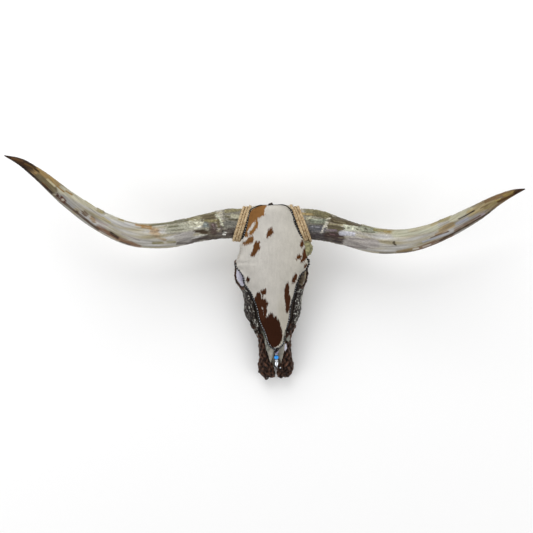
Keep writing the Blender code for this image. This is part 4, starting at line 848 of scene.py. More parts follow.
def refined(name, node, voxel, rounds, material):
    """A finer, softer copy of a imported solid, to be shaped further."""
    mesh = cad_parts[node].data.copy()
    shape = bmesh.new()
    shape.from_mesh(mesh)
    bmesh.ops.remove_doubles(shape, verts=shape.verts, dist=1e-6)
    shape.to_mesh(mesh)
    shape.free()
    thing = bpy.data.objects.new(name, mesh)
    bpy.context.scene.collection.objects.link(thing)
    skin = thing.modifiers.new("skin", "REMESH")
    skin.mode = "VOXEL"
    skin.voxel_size = voxel
    soft = thing.modifiers.new("soft", "SMOOTH")
    soft.factor = 0.5
    soft.iterations = rounds
    settled(thing)
    thing.data.materials.clear()
    thing.data.materials.append(material)
    thing.data.polygons.foreach_set("use_smooth", [True] * len(thing.data.polygons))
    return thing


def placed(piece, slot, *nodes):
    """Tie a finished piece to the body and hide the solids it stands for; its slot, the finish, is
    not used.
    """
    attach(piece, "root")
    if nodes:
        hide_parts(*nodes)
    return piece


# Geometry Nodes for what repeats along a line

def tree_of(name, inputs):
    """A new tree with named inputs; returns it with its inputs and its output."""
    tree = bpy.data.node_groups.new(name, "GeometryNodeTree")
    tree.interface.new_socket("Geometry", in_out="INPUT", socket_type="NodeSocketGeometry")
    for label, kind in inputs:
        tree.interface.new_socket(label, in_out="INPUT", socket_type=kind)
    tree.interface.new_socket("Geometry", in_out="OUTPUT", socket_type="NodeSocketGeometry")
    entry = tree.nodes.new("NodeGroupInput").outputs
    leave = tree.nodes.new("NodeGroupOutput").inputs
    return tree, entry, leave


def grown(name, line, tree, values):
    """Run the tree on the line and keep the result as a plain mesh."""
    thing = bpy.data.objects.new(name, line)
    bpy.context.scene.collection.objects.link(thing)
    step = thing.modifiers.new("grow", "NODES")
    step.node_group = tree
    for item in tree.interface.items_tree:
        if item.in_out == "INPUT" and item.name in values:
            step[item.identifier] = values[item.name]
    settled(thing)
    thing.data.polygons.foreach_set("use_smooth", [True] * len(thing.data.polygons))
    return thing


def line_mesh(name, points, closed=False):
    """A mesh of edges alone, from point to point."""
    mesh = bpy.data.meshes.new(name)
    edges = [(k, k + 1) for k in range(len(points) - 1)]
    if closed:
        edges.append((len(points) - 1, 0))
    mesh.from_pydata([tuple(map(float, p)) for p in points], edges, [])
    return mesh


def stitch_tree():
    """Rounded stitches, or beads, at an even pitch along a line, over an optional cord."""
    tree, given, result = tree_of("stitches", (
        ("Pitch", "NodeSocketFloat"), ("Size", "NodeSocketVector"),
        ("Cord", "NodeSocketFloat"), ("Material", "NodeSocketMaterial")))
    curve = add(tree, "GeometryNodeMeshToCurve", {"Mesh": given["Geometry"]}).outputs[0]
    spots = add(tree, "GeometryNodeCurveToPoints", {"Curve": curve, "Length": given["Pitch"]},
                mode="LENGTH")
    bead = add(tree, "GeometryNodeMeshUVSphere", {"Segments": 10, "Rings": 7, "Radius": 1.0})
    set_out = add(tree, "GeometryNodeInstanceOnPoints", {
        "Points": spots.outputs["Points"], "Instance": bead.outputs["Mesh"],
        "Rotation": spots.outputs["Rotation"], "Scale": given["Size"]})
    solid = add(tree, "GeometryNodeRealizeInstances", {"Geometry": set_out.outputs[0]})
    ring = add(tree, "GeometryNodeCurvePrimitiveCircle", {"Resolution": 8, "Radius": given["Cord"]})
    cord = add(tree, "GeometryNodeCurveToMesh", {"Curve": curve, "Profile Curve": ring.outputs[0],
                                                 "Fill Caps": True})
    whole = add(tree, "GeometryNodeJoinGeometry", {"Geometry": cord.outputs[0]})
    tree.links.new(solid.outputs[0], whole.inputs[0])
    done = add(tree, "GeometryNodeSetMaterial", {"Geometry": whole.outputs[0],
                                                 "Material": given["Material"]})
    tree.links.new(done.outputs[0], result[0])
    return tree


def rope_tree():
    """Three strands twisted round a closed line, with loose fibres standing off."""
    tree, given, result = tree_of("laid rope", (
        ("Radius", "NodeSocketFloat"), ("Twists", "NodeSocketFloat"), ("Rings", "NodeSocketInt"),
        ("Fibres", "NodeSocketFloat"), ("Seed", "NodeSocketInt"),
        ("Material", "NodeSocketMaterial")))
    curve = add(tree, "GeometryNodeMeshToCurve", {"Mesh": given["Geometry"]}).outputs[0]
    even = add(tree, "GeometryNodeResampleCurve", {"Curve": curve, "Count": given["Rings"]})
    share = add(tree, "GeometryNodeSplineParameter").outputs["Factor"]
    turns = add(tree, "ShaderNodeMath", {0: share, 1: given["Twists"]}, operation="MULTIPLY")
    angle = add(tree, "ShaderNodeMath", {0: turns.outputs[0], 1: math.tau}, operation="MULTIPLY")
    twisted = add(tree, "GeometryNodeSetCurveTilt",
                  {"Curve": even.outputs[0], "Tilt": angle.outputs[0]})
    circle = add(tree, "GeometryNodeCurvePrimitiveCircle", {"Resolution": 24, "Radius": 1.0})
    place = add(tree, "GeometryNodeInputPosition").outputs[0]
    parts = add(tree, "ShaderNodeSeparateXYZ", {0: place})
    turn = add(tree, "ShaderNodeMath", {0: parts.outputs[1], 1: parts.outputs[0]},
               operation="ARCTAN2")
    three = add(tree, "ShaderNodeMath", {0: turn.outputs[0], 1: 3.0}, operation="MULTIPLY")
    wave = add(tree, "ShaderNodeMath", {0: three.outputs[0]}, operation="COSINE")
    lobes = add(tree, "ShaderNodeMath", {0: wave.outputs[0], 1: 0.13, 2: 0.88},
                operation="MULTIPLY_ADD")
    reach = add(tree, "ShaderNodeMath", {0: lobes.outputs[0], 1: given["Radius"]},
                operation="MULTIPLY")
    pushed = add(tree, "ShaderNodeVectorMath", {0: place, "Scale": reach.outputs[0]},
                 operation="SCALE")
    clover = add(tree, "GeometryNodeSetPosition", {"Geometry": circle.outputs[0],
                                                   "Position": pushed.outputs[0]})
    body = add(tree, "GeometryNodeCurveToMesh", {"Curve": twisted.outputs[0],
                                                 "Profile Curve": clover.outputs[0]})
    roots = add(tree, "GeometryNodeDistributePointsOnFaces", {
        "Mesh": body.outputs[0], "Density": given["Fibres"], "Seed": given["Seed"]})
    stray = add(tree, "FunctionNodeRandomValue", {0: (-1.2, -1.2, -1.2), 1: (1.2, 1.2, 1.2),
                                                  "Seed": given["Seed"]}, data_type="FLOAT_VECTOR")
    splay = add(tree, "ShaderNodeVectorMath", {0: roots.outputs["Normal"], 1: stray.outputs[0]})
    aim = add(tree, "FunctionNodeAlignRotationToVector", {"Vector": splay.outputs[0]}, axis="Z")
    fibre = add(tree, "GeometryNodeMeshCone", {"Vertices": 3, "Radius Top": 0.00003,
                                               "Radius Bottom": 0.00013, "Depth": 0.0055})
    fuzz = add(tree, "GeometryNodeInstanceOnPoints", {
        "Points": roots.outputs["Points"], "Instance": fibre.outputs["Mesh"],
        "Rotation": aim.outputs[0]})
    solid = add(tree, "GeometryNodeRealizeInstances", {"Geometry": fuzz.outputs[0]})
    whole = add(tree, "GeometryNodeJoinGeometry", {"Geometry": body.outputs[0]})
    tree.links.new(solid.outputs[0], whole.inputs[0])
    done = add(tree, "GeometryNodeSetMaterial", {"Geometry": whole.outputs[0],
                                                 "Material": given["Material"]})
    tree.links.new(done.outputs[0], result[0])
    return tree


def centre_line(node, bins):
    """The middle line of a packed ring or arc, as points in order along it."""
    spots = spots_of(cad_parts[node])
    middle = (spots.min(0) + spots.max(0)) / 2
    axes = np.linalg.svd(spots - spots.mean(0), full_matrices=False)[2]
    flat = (spots - middle) @ axes[:2].T
    turns = np.arctan2(flat[:, 1], flat[:, 0])
    order = np.sort(turns)
    gaps = np.diff(np.concatenate([order, [order[0] + math.tau]]))
    start = order[(gaps.argmax() + 1) % len(order)]
    share = ((turns - start) % math.tau) / math.tau
    index = np.minimum((share * bins + 0.5).astype(int) % bins, bins - 1)
    return [spots[index == k].mean(0) for k in range(bins) if (index == k).any()]


def strap(points, outwards, width, thick, sides=8):
    """Points and faces of a flat lace that follows a line; its ends are closed."""
    points, outwards = np.asarray(points), np.asarray(outwards)
    ahead = unit(np.gradient(points, axis=0))
    across = np.cross(ahead, outwards)
    across = unit(across)
    rise = np.cross(across, ahead)
    turns = np.arange(sides) * math.tau / sides
    rings = (points[:, None] + np.cos(turns)[None, :, None] * across[:, None] * width / 2
             + np.sin(turns)[None, :, None] * rise[:, None] * thick / 2)
    verts = rings.reshape(-1, 3)
    faces = [tuple(range(sides)), tuple(len(verts) - sides + k for k in range(sides))]
    for row in range(len(points) - 1):
        base = row * sides
        for k in range(sides):
            after = (k + 1) % sides
            faces.append((base + k, base + after, base + sides + after, base + sides + k))
    return verts, faces


def gathered(name, parts, material, shades=None):
    """Many (points, faces) parts as one object; each may have its own shade."""
    verts, faces, count = [], [], 0
    for spots, panels in parts:
        verts.append(spots)
        faces += [tuple(count + k for k in face) for face in panels]
        count += len(spots)
    whole = shown(name, np.vstack(verts), faces, material)
    if shades is not None:
        note(whole, "shade",
             np.concatenate([np.full(len(part[0]), shade) if np.isscalar(shade) else shade
                                             for part, shade in zip(parts, shades)]))
    return whole


def torus(middle, axis, radius, thick, sides=8, rings=20, squash=1.0):
    """Points and faces of a closed loop of lace."""
    axis = Vector(axis).normalized()
    first = axis.orthogonal().normalized()
    second = axis.cross(first)
    verts, faces = [], []
    for r in range(rings):
        t = math.tau * r / rings
        out = math.cos(t) * first + math.sin(t) * second
        centre = Vector(middle) + radius * (math.cos(t) * first + squash * math.sin(t) * second)
        for s in range(sides):
            w = math.tau * s / sides
            verts.append(centre + thick / 2 * (math.cos(w) * out + math.sin(w) * axis))
    for r in range(rings):
        for s in range(sides):
            a, b = r * sides + s, r * sides + (s + 1) % sides
            c, d = ((r + 1) % rings) * sides + s, ((r + 1) % rings) * sides + (s + 1) % sides
            faces.append((a, b, d, c))
    return np.array([tuple(v) for v in verts]), faces


# The pieces

def bone(material):
    """The skull itself, finer than the solid, with sutures, lumps and stains, and with painted
    shade and light in its stain colour.
    """
    skull = refined("bone", "cranium", BONE_VOXEL, 6, material)
    smooth_tree = surface_of(skull)
    spots = spots_of(skull)
    facing = normals_of(skull)
    rough = 0.0006 * ripple(spots, 0.011, 1) + 0.0004 * ripple(spots, 0.0045, 2)
    local = spots - POLL
    temple = np.exp(-(((local[:, 0] - TEMPLE[0]) / TEMPLE_REACH[0]) ** 2
                      + ((local[:, 1] - TEMPLE[1]) / TEMPLE_REACH[1]) ** 2))
    temple[local[:, 2] < 0.05] = 0
    knobs = 2.2 * np.abs(ripple(spots, 0.0115, 3)) + 0.9 * np.abs(ripple(spots, 0.0055, 16)) - 1.0
    rough += temple * TEMPLE_RISE * np.clip(knobs, -1, 1)
    flat_feet = local[:, 2] < 0.004
    rough[flat_feet] = 0
    moved_to(skull, spots + facing * rough[:, None])
    grown_teeth = ((local[:, 2] < 0.034) & (np.abs(local[:, 0]) > 0.022)
                   & (np.abs(local[:, 0]) < 0.072))
    teeth = grown_teeth & (local[:, 1] < -0.21) & (local[:, 1] > -0.37)
    stain_and_shade = np.tile(np.array(paint("#8f8b68")[:3]), (len(spots), 1))
    # painted shade and light: the temple's stain is darker in the crevices between its knobs and
    # lighter on their tops
    stain_and_shade *= np.clip(1.0 + 0.5 * knobs, 0.4, 1.35)[:, None]
    amount = np.clip(temple * 1.3, 0, 1)
    stain_and_shade[teeth] = paint("#a89a7c")[:3]
    amount[teeth] = 0.85
    crown = teeth & (local[:, 2] < 0.004)
    stain_and_shade[crown] = paint("#6f5b42")[:3]
    nose = (local[:, 1] < NOSE_Y) & (local[:, 2] > 0.070)
    # painted shade: the nose bone's sides, in the gap beside the wraps, turn darker grey-green
    edge = np.clip((np.abs(local[:, 0] - MUZZLE_LEAN) - 0.0285) / 0.003, 0, 1) * nose
    edge *= np.clip((local[:, 1] + 0.452) / 0.012, 0, 1)
    stain_and_shade[nose] = paint("#8d8b84")[:3]
    amount[nose] = 0.75
    # painted shade on the nose's sides
    dark = edge > 0.4
    stain_and_shade[dark] = paint("#54574e")[:3]
    amount[dark] = edge[dark]
    edges = through(HIDE_EDGE, np.clip(local[:, 1], HIDE_EDGE[-1][0], HIDE_EDGE[0][0]))
    beyond = np.maximum(edges[:, 1] - local[:, 0], local[:, 0] - edges[:, 2])
    scrap = (beyond > 0) & (beyond < 0.020) & (local[:, 1] < -0.232) & (local[:, 1] > -0.385)
    scrap &= local[:, 2] > 0.075
    stain_and_shade[scrap] = paint("#21150f")[:3]
    amount[scrap] = 0.95
    note_colour(skull, "stain_and_shade", stain_and_shade)
    note(skull, "stained", np.clip(amount, 0, 1))
    return skull, smooth_tree


def horn(side, material):
    """One horn sheath: growth rings and flaking layers at the root, a smooth dark tip."""
    stations = HORN_LEFT if side < 0 else HORN_RIGHT
    name = "horn_skin_left" if side < 0 else "horn_skin_right"
    rows = along(stations, HORN_ROWS)
    path = rows[:, :3] + POLL
    radius = rows[:, 3]
    ahead = unit(np.gradient(path, axis=0))
    across = np.cross(ahead, np.array((0.0, 0.0, 1.0))) * -side
    across = unit(across)
    rise = np.cross(ahead, across) * side
    turns = np.arange(HORN_SIDES) * math.tau / HORN_SIDES
    turns += SIDE_SHIFT * (np.cos(turns) - 1)
    out = (np.cos(turns)[None, :, None] * across[:, None]
           + np.sin(turns)[None, :, None] * rise[:, None])
    skin = path[:, None] + out * radius[:, None, None]
    spots = skin.reshape(-1, 3)
    step = np.linalg.norm(np.diff(path, axis=0), axis=1)
    run = np.concatenate([[0.0], np.cumsum(step)])
    length = np.repeat(run, HORN_SIDES)
    turn = np.tile(turns, HORN_ROWS)
    girth = np.repeat(radius, HORN_SIDES)

    drawn = np.column_stack([length / 0.040, np.cos(turn) * girth / 0.0042,
                             np.sin(turn) * girth / 0.0042])
    ragged = (ripple(drawn, 1.0, 4) + 0.55 * ripple(drawn, 0.45, 5)
              + 0.35 * ripple(drawn, 0.2, 6)) / 1.2
    dry = ripple(drawn, (0.8, 0.55, 0.55), 14)
    blotch = ripple(spots, 0.012, 6)
    warm = np.clip(0.45 + 0.6 * ripple(drawn, (2.5, 2.2, 2.2), 15), 0, 1)[:, None]
    colours = np.array(paint(HORN_PALE)[:3]) * (1 - warm) + np.array(paint(HORN_CREAM)[:3]) * warm
    whole = length[-1]
    tipward = np.clip((length / whole - TAN_START + 0.05 * ragged) / TAN_FADE, 0, 1)[:, None]
    tipped = np.array(paint(HORN_TAN)[:3]) * np.clip(0.9 + 0.45 * dry, 0.45, 1.5)[:, None]
    colours = colours * (1 - 0.30 * np.clip(length / whole / 0.3 - 1.5, 0, 1)[:, None])
    colours = colours * (1 - tipward) + tipped * tipward
    proud = np.zeros(len(spots))
    chalk = np.clip((CHALK_END - length) / CHALK_FADE, 0, 1)
    pixels = seen(spots)
    heading = seen(path + ahead * 0.01) - seen(path)
    heading = unit(heading)
    heading = np.repeat(heading, HORN_SIDES, axis=0)
    comb = ripple(np.column_stack([length / 0.05, np.cos(turn) * girth / 0.0021,
                                   np.sin(turn) * girth / 0.0021]), 1.0, 17)
    calm = np.ones(len(spots))
    # the strokes lay the horn's own colours, and also painted shade along its lower edges and
    # painted highlights and sheen near its roots
    for stroke in (MARKS_LEFT if side < 0 else MARKS_RIGHT):
        drag = 0.5 * ragged + min(0.5 + 0.30 * stroke[4], 1.7) * comb
        far = stroke_distance(pixels + heading * drag[:, None], stroke)
        far += 0.4 * ragged * min(1.0, 0.35 + stroke[4] / 3)
        soft = 0.30 + (0.08 if abs(stroke[6]) >= 0.5 else 0.30) * stroke[4]
        amount = np.clip(0.5 - far / (2 * soft), 0, 1)
        amount = amount * amount * (3 - 2 * amount)
        amount = (amount * np.clip(0.98 + 0.5 * dry, 0.78 if stroke[4] > 2.9 else 0.6, 1))[:, None]
        colour = np.array(paint(stroke[5])[:3])
        colours = colours * (1 - amount) + colour * amount
        calm = calm * (1 - amount[:, 0]) + (0.25 if colour[1] < 0.13 else 1.0) * amount[:, 0]
        lift = np.clip(0.5 - far / 0.6, 0, 1)
        proud = proud * (1 - lift) + stroke[6] * 0.001 * lift
    black = np.clip((length / whole - BLACK_TIP[side] + 0.008 * ragged) / 0.012,
                    0, 1)[:, None]
    colours = colours * (1 - black) + np.array(paint(HORN_DARK)[:3]) * black

    root = np.clip((0.22 - length) / 0.16, 0, 1)
    rings = -np.abs(np.sin(math.pi * length / RING_PITCH + 1.3 * ripple(spots, 0.03, 7))) ** 0.5
    lumpy = 0.0007 * root * rings + (0.0003 + 0.0008 * root) * ripple(spots, 0.009, 8)
    lumpy += 0.0004 * ragged * np.clip(girth / 0.03, 0, 1)
    taper = np.clip(girth / 0.012, 0, 1)
    spots = spots + out.reshape(-1, 3) * ((lumpy + proud) * taper)[:, None]

    count = HORN_SIDES
    faces = [tuple(range(count)), tuple((HORN_ROWS - 1) * count + k for k in range(count))]
    for row in range(HORN_ROWS - 1):
        for k in range(count):
            a, b = row * count + k, row * count + (k + 1) % count
            faces.append((a, b, b + count, a + count))
    sheath = shown(name, spots, faces, material)
    note_colour(sheath, "tone", np.clip(colours, 0, 1))
    upper = np.clip(0.6 + 0.8 * (spots[:, 1] - np.repeat(path[:, 1], HORN_SIDES))
                    / (girth + 0.002), 0.25, 1)
    flaky = chalk * np.maximum(upper, (0.16 - length) / 0.04) * (0.7 + 0.4 * blotch) * calm
    flaky = np.clip(flaky + 0.10, 0, 1)
    note(sheath, "chalk", flaky)
    grain = sheath.data.uv_layers.new(name="grain")
    corners = np.zeros(len(sheath.data.loops), dtype=int)
    sheath.data.loops.foreach_get("vertex_index", corners)
    rows_at, sides_at = corners // count, corners % count
    around = np.abs(turns[sides_at] - math.pi) * radius[rows_at]
    grain.data.foreach_set("uv", np.column_stack([around, run[rows_at]]).ravel())
    return sheath


def hide_grid(skull_tree, solid_tree):
    """The hide's upper face: a grid of points, row by row from the poll."""
    places = np.linspace(HIDE_EDGE[0][0], HIDE_EDGE[-1][0], HIDE_ROWS)
    edges = through(HIDE_EDGE, places)
    shares = np.linspace(0, 1, HIDE_COLUMNS)
    shares = 0.35 * shares + 0.65 * (0.5 - 0.5 * np.cos(math.pi * shares))
    grid = np.zeros((HIDE_ROWS, HIDE_COLUMNS, 3))
    down = Vector((0, 0, -1))
    for row, (y, left, right) in enumerate(edges):
        laps = lap(y, -1), lap(y, 1)
        left, right = left - LAP_OUT[0] * laps[0], right + LAP_OUT[1] * laps[1]
        for column, share in enumerate(shares):
            x = left + (right - left) * share
            start = Vector((x + POLL[0], y + POLL[1], RAY_TOP))
            heights = [hit[0].z for hit in (solid_tree.ray_cast(start, down),) if hit[0]]
            bony = skull_tree.ray_cast(start, down)[0]
            if bony:
                over = laps[0] * max(0, 0.08 - share) + laps[1] * max(0, share - 0.92)
                heights.append(bony.z + HIDE_OVER_BONE + LAP_RISE * over)
            grid[row, column] = (start.x, start.y, max(heights) if heights else np.nan)
    heights = grid[:, :, 2]
    for row in range(HIDE_ROWS):
        known = ~np.isnan(heights[row])
        heights[row] = np.interp(np.arange(HIDE_COLUMNS), np.flatnonzero(known),
                                 heights[row][known])
    floor = heights.copy()
    for _ in range(45):
        heights = (beside(heights) + 2 * heights) / 6
        heights = np.maximum(heights, floor - HIDE_SAG)
    grid[:, :, 2] = heights
    return grid


def hide_marks(spots):
    """For each point: distance from the brown patches in metres, how tan, how cream."""
    pixels = seen(spots)
    nearest = np.full(len(spots), 99.0)
    tan = np.zeros(len(spots))
    for depth, outline in HIDE_PATCHES:
        far = outline_distance(pixels, outline)
        closer = far < nearest
        nearest[closer] = far[closer]
        tan[closer] = depth
    for hole in HIDE_HOLES:
        nearest = np.maximum(nearest, -stroke_distance(pixels, hole))
    cream = np.clip((pixels[:, 0] - 262) / 36, 0, 1) * 0.6
    cream += np.clip((pixels[:, 1] - 290) / 30, 0, 1) * np.clip((pixels[:, 0] - 276) / 4, 0, 1)
    return (nearest - PATCH_GROWTH) * PIXEL, tan, np.clip(cream, 0, 1)


def hide(grid, material):
    """The hide itself, a thin closed sheet of leather with hair on its upper face."""
    rows, columns = grid.shape[:2]
    down = np.gradient(grid, axis=0)
    over = np.gradient(grid, axis=1)
    facing = np.cross(down, over)
    facing /= np.linalg.norm(facing, axis=2)[:, :, None]
    facing *= np.sign(facing[:, :, 2:3])
    upper = grid.reshape(-1, 3)
    soft = 0.00012 * ripple(upper, (0.006, 0.02, 0.01), 9) + 0.0003 * ripple(upper, 0.035, 10)
    upper = upper + facing.reshape(-1, 3) * soft[:, None]
    grid[:] = upper.reshape(grid.shape)
    lower = upper - facing.reshape(-1, 3) * HIDE_THICK
    faces = []
    below = rows * columns
    for r in range(rows - 1):
        for c in range(columns - 1):
            a = r * columns + c
            quad = (a, a + 1, a + columns + 1, a + columns)
            faces.append(quad)
            faces.append(tuple(below + k for k in quad))
    border = list(range(columns)) + [r * columns + columns - 1 for r in range(1, rows)]
    border += [(rows - 1) * columns + c for c in range(columns - 2, -1, -1)]
    border += [r * columns for r in range(rows - 2, 0, -1)]
    for k, a in enumerate(border):
        b = border[(k + 1) % len(border)]
        faces.append((a, b, below + b, below + a))
    skin = shown("hide", np.vstack([upper, lower]), faces, material)
    mark, tan, cream = hide_marks(upper)
    note(skin, "mark", np.tile(mark, 2))
    note(skin, "tan", np.tile(tan, 2))
    note(skin, "cream", np.tile(cream, 2))
    return skin, facing, (mark, tan, cream)


TUFTS = 15500
TUFT_LONG = 0.0085
TUFT_WIDE = 0.0012


def hair(grid, facing, marks, material):
    """Thin flat tufts of short hair that lie along the hide, towards the nose."""
    draw = np.random.default_rng(11)
    rows, columns = grid.shape[:2]
    row = draw.random(TUFTS) * (rows - 1.001)
    column = draw.random(TUFTS) * (columns - 1.001)
    r, c = row.astype(int), column.astype(int)
    fr, fc = (row - r)[:, None], (column - c)[:, None]

    def sample(field):
        flat = field.reshape(rows, columns, -1)
        top = flat[r, c] * (1 - fc) + flat[r, c + 1] * fc
        return top * (1 - fr) + (flat[r + 1, c] * (1 - fc) + flat[r + 1, c + 1] * fc) * fr

    root = sample(grid)
    up = sample(facing)
    up = unit(up)
    sway = ((root[:, 0] - POLL[0]) * 3.0 + 0.10 * ripple(root, 0.05, 12)
            + 0.07 * draw.normal(size=TUFTS))
    lie = np.column_stack([sway, -np.ones(TUFTS), np.zeros(TUFTS)])
    lie -= up * (lie * up).sum(1)[:, None]
    lie = unit(lie)
    side = np.cross(lie, up)
    inside = np.minimum(column, columns - 1 - column) / columns
    long = TUFT_LONG * (0.7 + 0.6 * draw.random(TUFTS)) * np.clip(0.55 + 4 * inside, 0, 1)
    toe = np.clip((rows - 1 - row) * 0.0022 / TUFT_LONG, 0.25, 1)
    long = (long * toe)[:, None]
    wide = (TUFT_WIDE * (0.7 + 0.6 * draw.random(TUFTS)))[:, None]
    lift = (0.00015 + 0.0003 * draw.random(TUFTS))[:, None]
    start = root - 0.0003 * up
    middle = root + lie * long * 0.45 + up * lift * 0.8
    tip = root + lie * long + up * lift
    parts = [start - side * wide * 0.4, start + side * wide * 0.4, start + up * 0.0002,
             middle - side * wide * 0.5, middle + side * wide * 0.5, middle + up * 0.00014, tip]
    verts = np.stack(parts, axis=1).reshape(-1, 3)
    pattern = np.array(((0, 1, 2), (0, 3, 4), (0, 4, 1), (1, 4, 5), (1, 5, 2), (2, 5, 3), (2, 3, 0),
                        (3, 6, 4), (4, 6, 5), (5, 6, 3)))
    faces = (np.arange(TUFTS)[:, None, None] * 7 + pattern).reshape(-1, 3)
    coat = shown("hide_hair", verts, faces.tolist(), material)
    leaning = up + 0.10 * side * draw.normal(size=TUFTS)[:, None]
    leaning = unit(leaning)
    coat.data.normals_split_custom_set_from_vertices(np.repeat(leaning, 7, axis=0).tolist())

    mark, tan, cream = (sample(field)[:, 0] for field in marks)
    crisp = mark + 0.0009 * draw.normal(size=TUFTS)
    note(coat, "mark", np.repeat(np.where(crisp < 0, -0.02, 0.02), 7))
    note(coat, "tan", np.repeat(tan, 7))
    note(coat, "cream", np.repeat(cream, 7))
    bake = coat.data.uv_layers.new(name="OFBake")
    corners = np.zeros(len(coat.data.loops), dtype=int)
    coat.data.loops.foreach_get("vertex_index", corners)
    tuft, part = corners // 7, corners % 7
    offsets = np.array(((0, 0), (1, 0), (0.5, 0.3), (0, 0.6), (1, 0.6), (0.5, 0.7),
                        (0.5, 1))) * 0.003
    spot = np.column_stack([0.01 + 0.97 * column / columns, 0.01 + 0.97 * row / rows])
    bake.data.foreach_set("uv", (spot[tuft] + offsets[part]).ravel())
    return coat


def edge_route(side):
    """The lacing's middle line along one edge of the hide, in the part's frame."""
    column = 1 if side < 0 else 2
    route = [(side * x, POLL_LACE_Y) for x in (0.0002, 0.018, abs(HIDE_EDGE[0][column]))]
    route += [(row[column] + side * LACE_OUT, row[0]) for row in HIDE_EDGE[1:-1]]
    tip = HIDE_EDGE[-1]
    middle = (tip[1] + tip[2]) / 2
    route += [(middle + side * 0.0085, tip[0] - 0.0032),
              (middle + side * 0.0002, tip[0] - LACE_OUT)]
    points = along([(x + POLL[0], y + POLL[1], 0.0) for x, y in route], 160)
    node = "edge_lacing_left" if side < 0 else "edge_lacing_right"
    solid = spots_of(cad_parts[node])
    for point in points:
        away = np.linalg.norm(solid[:, :2] - point[:2], axis=1)
        near = np.argsort(away)[:14]
        point[2] = solid[near, 2].mean()
    for _ in range(4):
        points[1:-1, 2] = (points[:-2, 2] + points[1:-1, 2] + points[2:, 2]) / 3
    narrowed = np.clip(1.6 - np.abs(points[:, 1] - POLL[1] - NARROW_Y) / NARROW_RUN, 0, 1)
    points[:, 2] += NARROW_LIFT * narrowed
    back = np.clip((points[:, 1] - POLL[1] + 0.012) / 0.012, 0, 1)
    points[:, 2] -= 0.0030 * back
    under = lap(points[:, 1] - POLL[1], side)
    points[:, 0] -= side * 0.005 * under
    points[:, 2] -= 0.004 * under
    return points


def edge_lacing(side, tree, lace, silver):
    """Black lacing whipped along the hide's edge, with a small bead in each gap."""
    name = "left" if side < 0 else "right"
    points = edge_route(side)
    above = np.tile((0.0, 0.0, 1.0), (len(points), 1))
    placed(gathered("edge_cord_" + name, [strap(points, above, 0.0030, 0.0034)], lace), "lacing",
           "edge_lacing_" + name)
    sides = points[points[:, 1] - POLL[1] < POLL_STITCH_Y]
    stitches = grown("edge_stitches_" + name, line_mesh("route", sides), tree, {
        "Pitch": STITCH_PITCH, "Size": STITCH_SIZE, "Cord": 0.0010, "Material": lace})
    placed(stitches, "lacing")
    between = along(sides, 400)
    step = np.linalg.norm(np.diff(between, axis=0), axis=1).sum() / 399
    between = between[int(STITCH_PITCH / 2 / step):] + np.array((-side * 0.0012, 0, 0.0020))
    low = between[:, 1] - POLL[1] < LOW_BEAD_Y
    for label, part, size in (("upper", between[~low], UPPER_BEAD),
                              ("lower", between[low], LOWER_BEAD)):
        beads = grown("edge_beads_%s_%s" % (name, label), line_mesh("route", part), tree, {
            "Pitch": STITCH_PITCH, "Size": (size,) * 3, "Cord": 0.0001, "Material": silver})
        placed(beads, "silver")


def rim_lacing(side, lace):
    """A plait of three dark laces round the lower rim of the eye socket, with knobs at its ends."""
    name = "left" if side < 0 else "right"
    points = along(centre_line("orbit_lacing_" + name, 40)[1:-1], 150)
    ahead = unit(np.gradient(points, axis=0))
    outward = points - np.array((POLL[0], points[:, 1].mean(), 0.09))
    outward -= ahead * (outward * ahead).sum(1)[:, None]
    outward = unit(outward)
    across = np.cross(ahead, outward)
    run = np.linspace(0, 1, len(points)) * RIM_TWISTS * math.tau
    draw = np.random.default_rng(31 if side < 0 else 32)
    parts, shades = [], []
    for k in range(3):
        phase = run + k * math.tau / 3
        spots = points + across * (0.0030 * np.sin(phase))[:, None] + outward * (
            0.0014 * np.sin(2 * phase) + 0.0008)[:, None]
        parts.append(strap(spots, outward, *RIM_LACE))
        shades.append(0.25 + 0.5 * (k == 1))
    for end in (0, 1, len(points) // 2, len(points) - 2, len(points) - 1):
        axis = Vector(outward[end]) + Vector(draw.normal(size=3) * 0.6)
        parts.append(torus(points[end] + outward[end] * 0.001, axis, 0.0036, 0.0042, 8, 16, 0.8))
        shades.append(0.9 if end else 0.3)
    placed(gathered("rim_plait_" + name, parts, lace, shades), "lacing", "orbit_lacing_" + name)


def ropes(tree, material):
    """Three turns of laid rope round the root of each horn."""
    for side in ("left", "right"):
        for number in (1, 2, 3):
            node = "rope_%s_%d" % (side, number)
            points = centre_line(node, 24)
            length = sum(np.linalg.norm(np.subtract(points[k], points[k - 1]))
                         for k in range(len(points)))
            turn = grown("laid_" + node, line_mesh("turn", points, True), tree, {
                "Radius": ROPE_RADIUS, "Twists": float(round(length / ROPE_LAY)), "Rings": 300,
                "Fibres": ROPE_FUZZ, "Seed": number + (7 if side == "left" else 0),
                "Material": material})
            placed(turn, "rope", node)


# The tooled leaves: the cheek's axis, round which they are laid, their spacing and sizes.
CHEEK_AXIS = 0.085
LEAF_PITCH = 0.0092
LEAF_START_Y = -0.205
LEAF_ROWS = 12          # to each side of the axis
LEAF_COLUMNS = 27
LEAF_STRAY = 0.002
LEAF_LONG = 0.0064
LEAF_WIDE = 0.0030
LEAF_BEND = 14
LEAF_WORN = (0.30, 0.55, 0.75, 1.0)
CHEEK_RUB = {-1: 0.86, 1: 1.00}   # how rubbed each cheek is
TOOLING_RISE = 0.0026


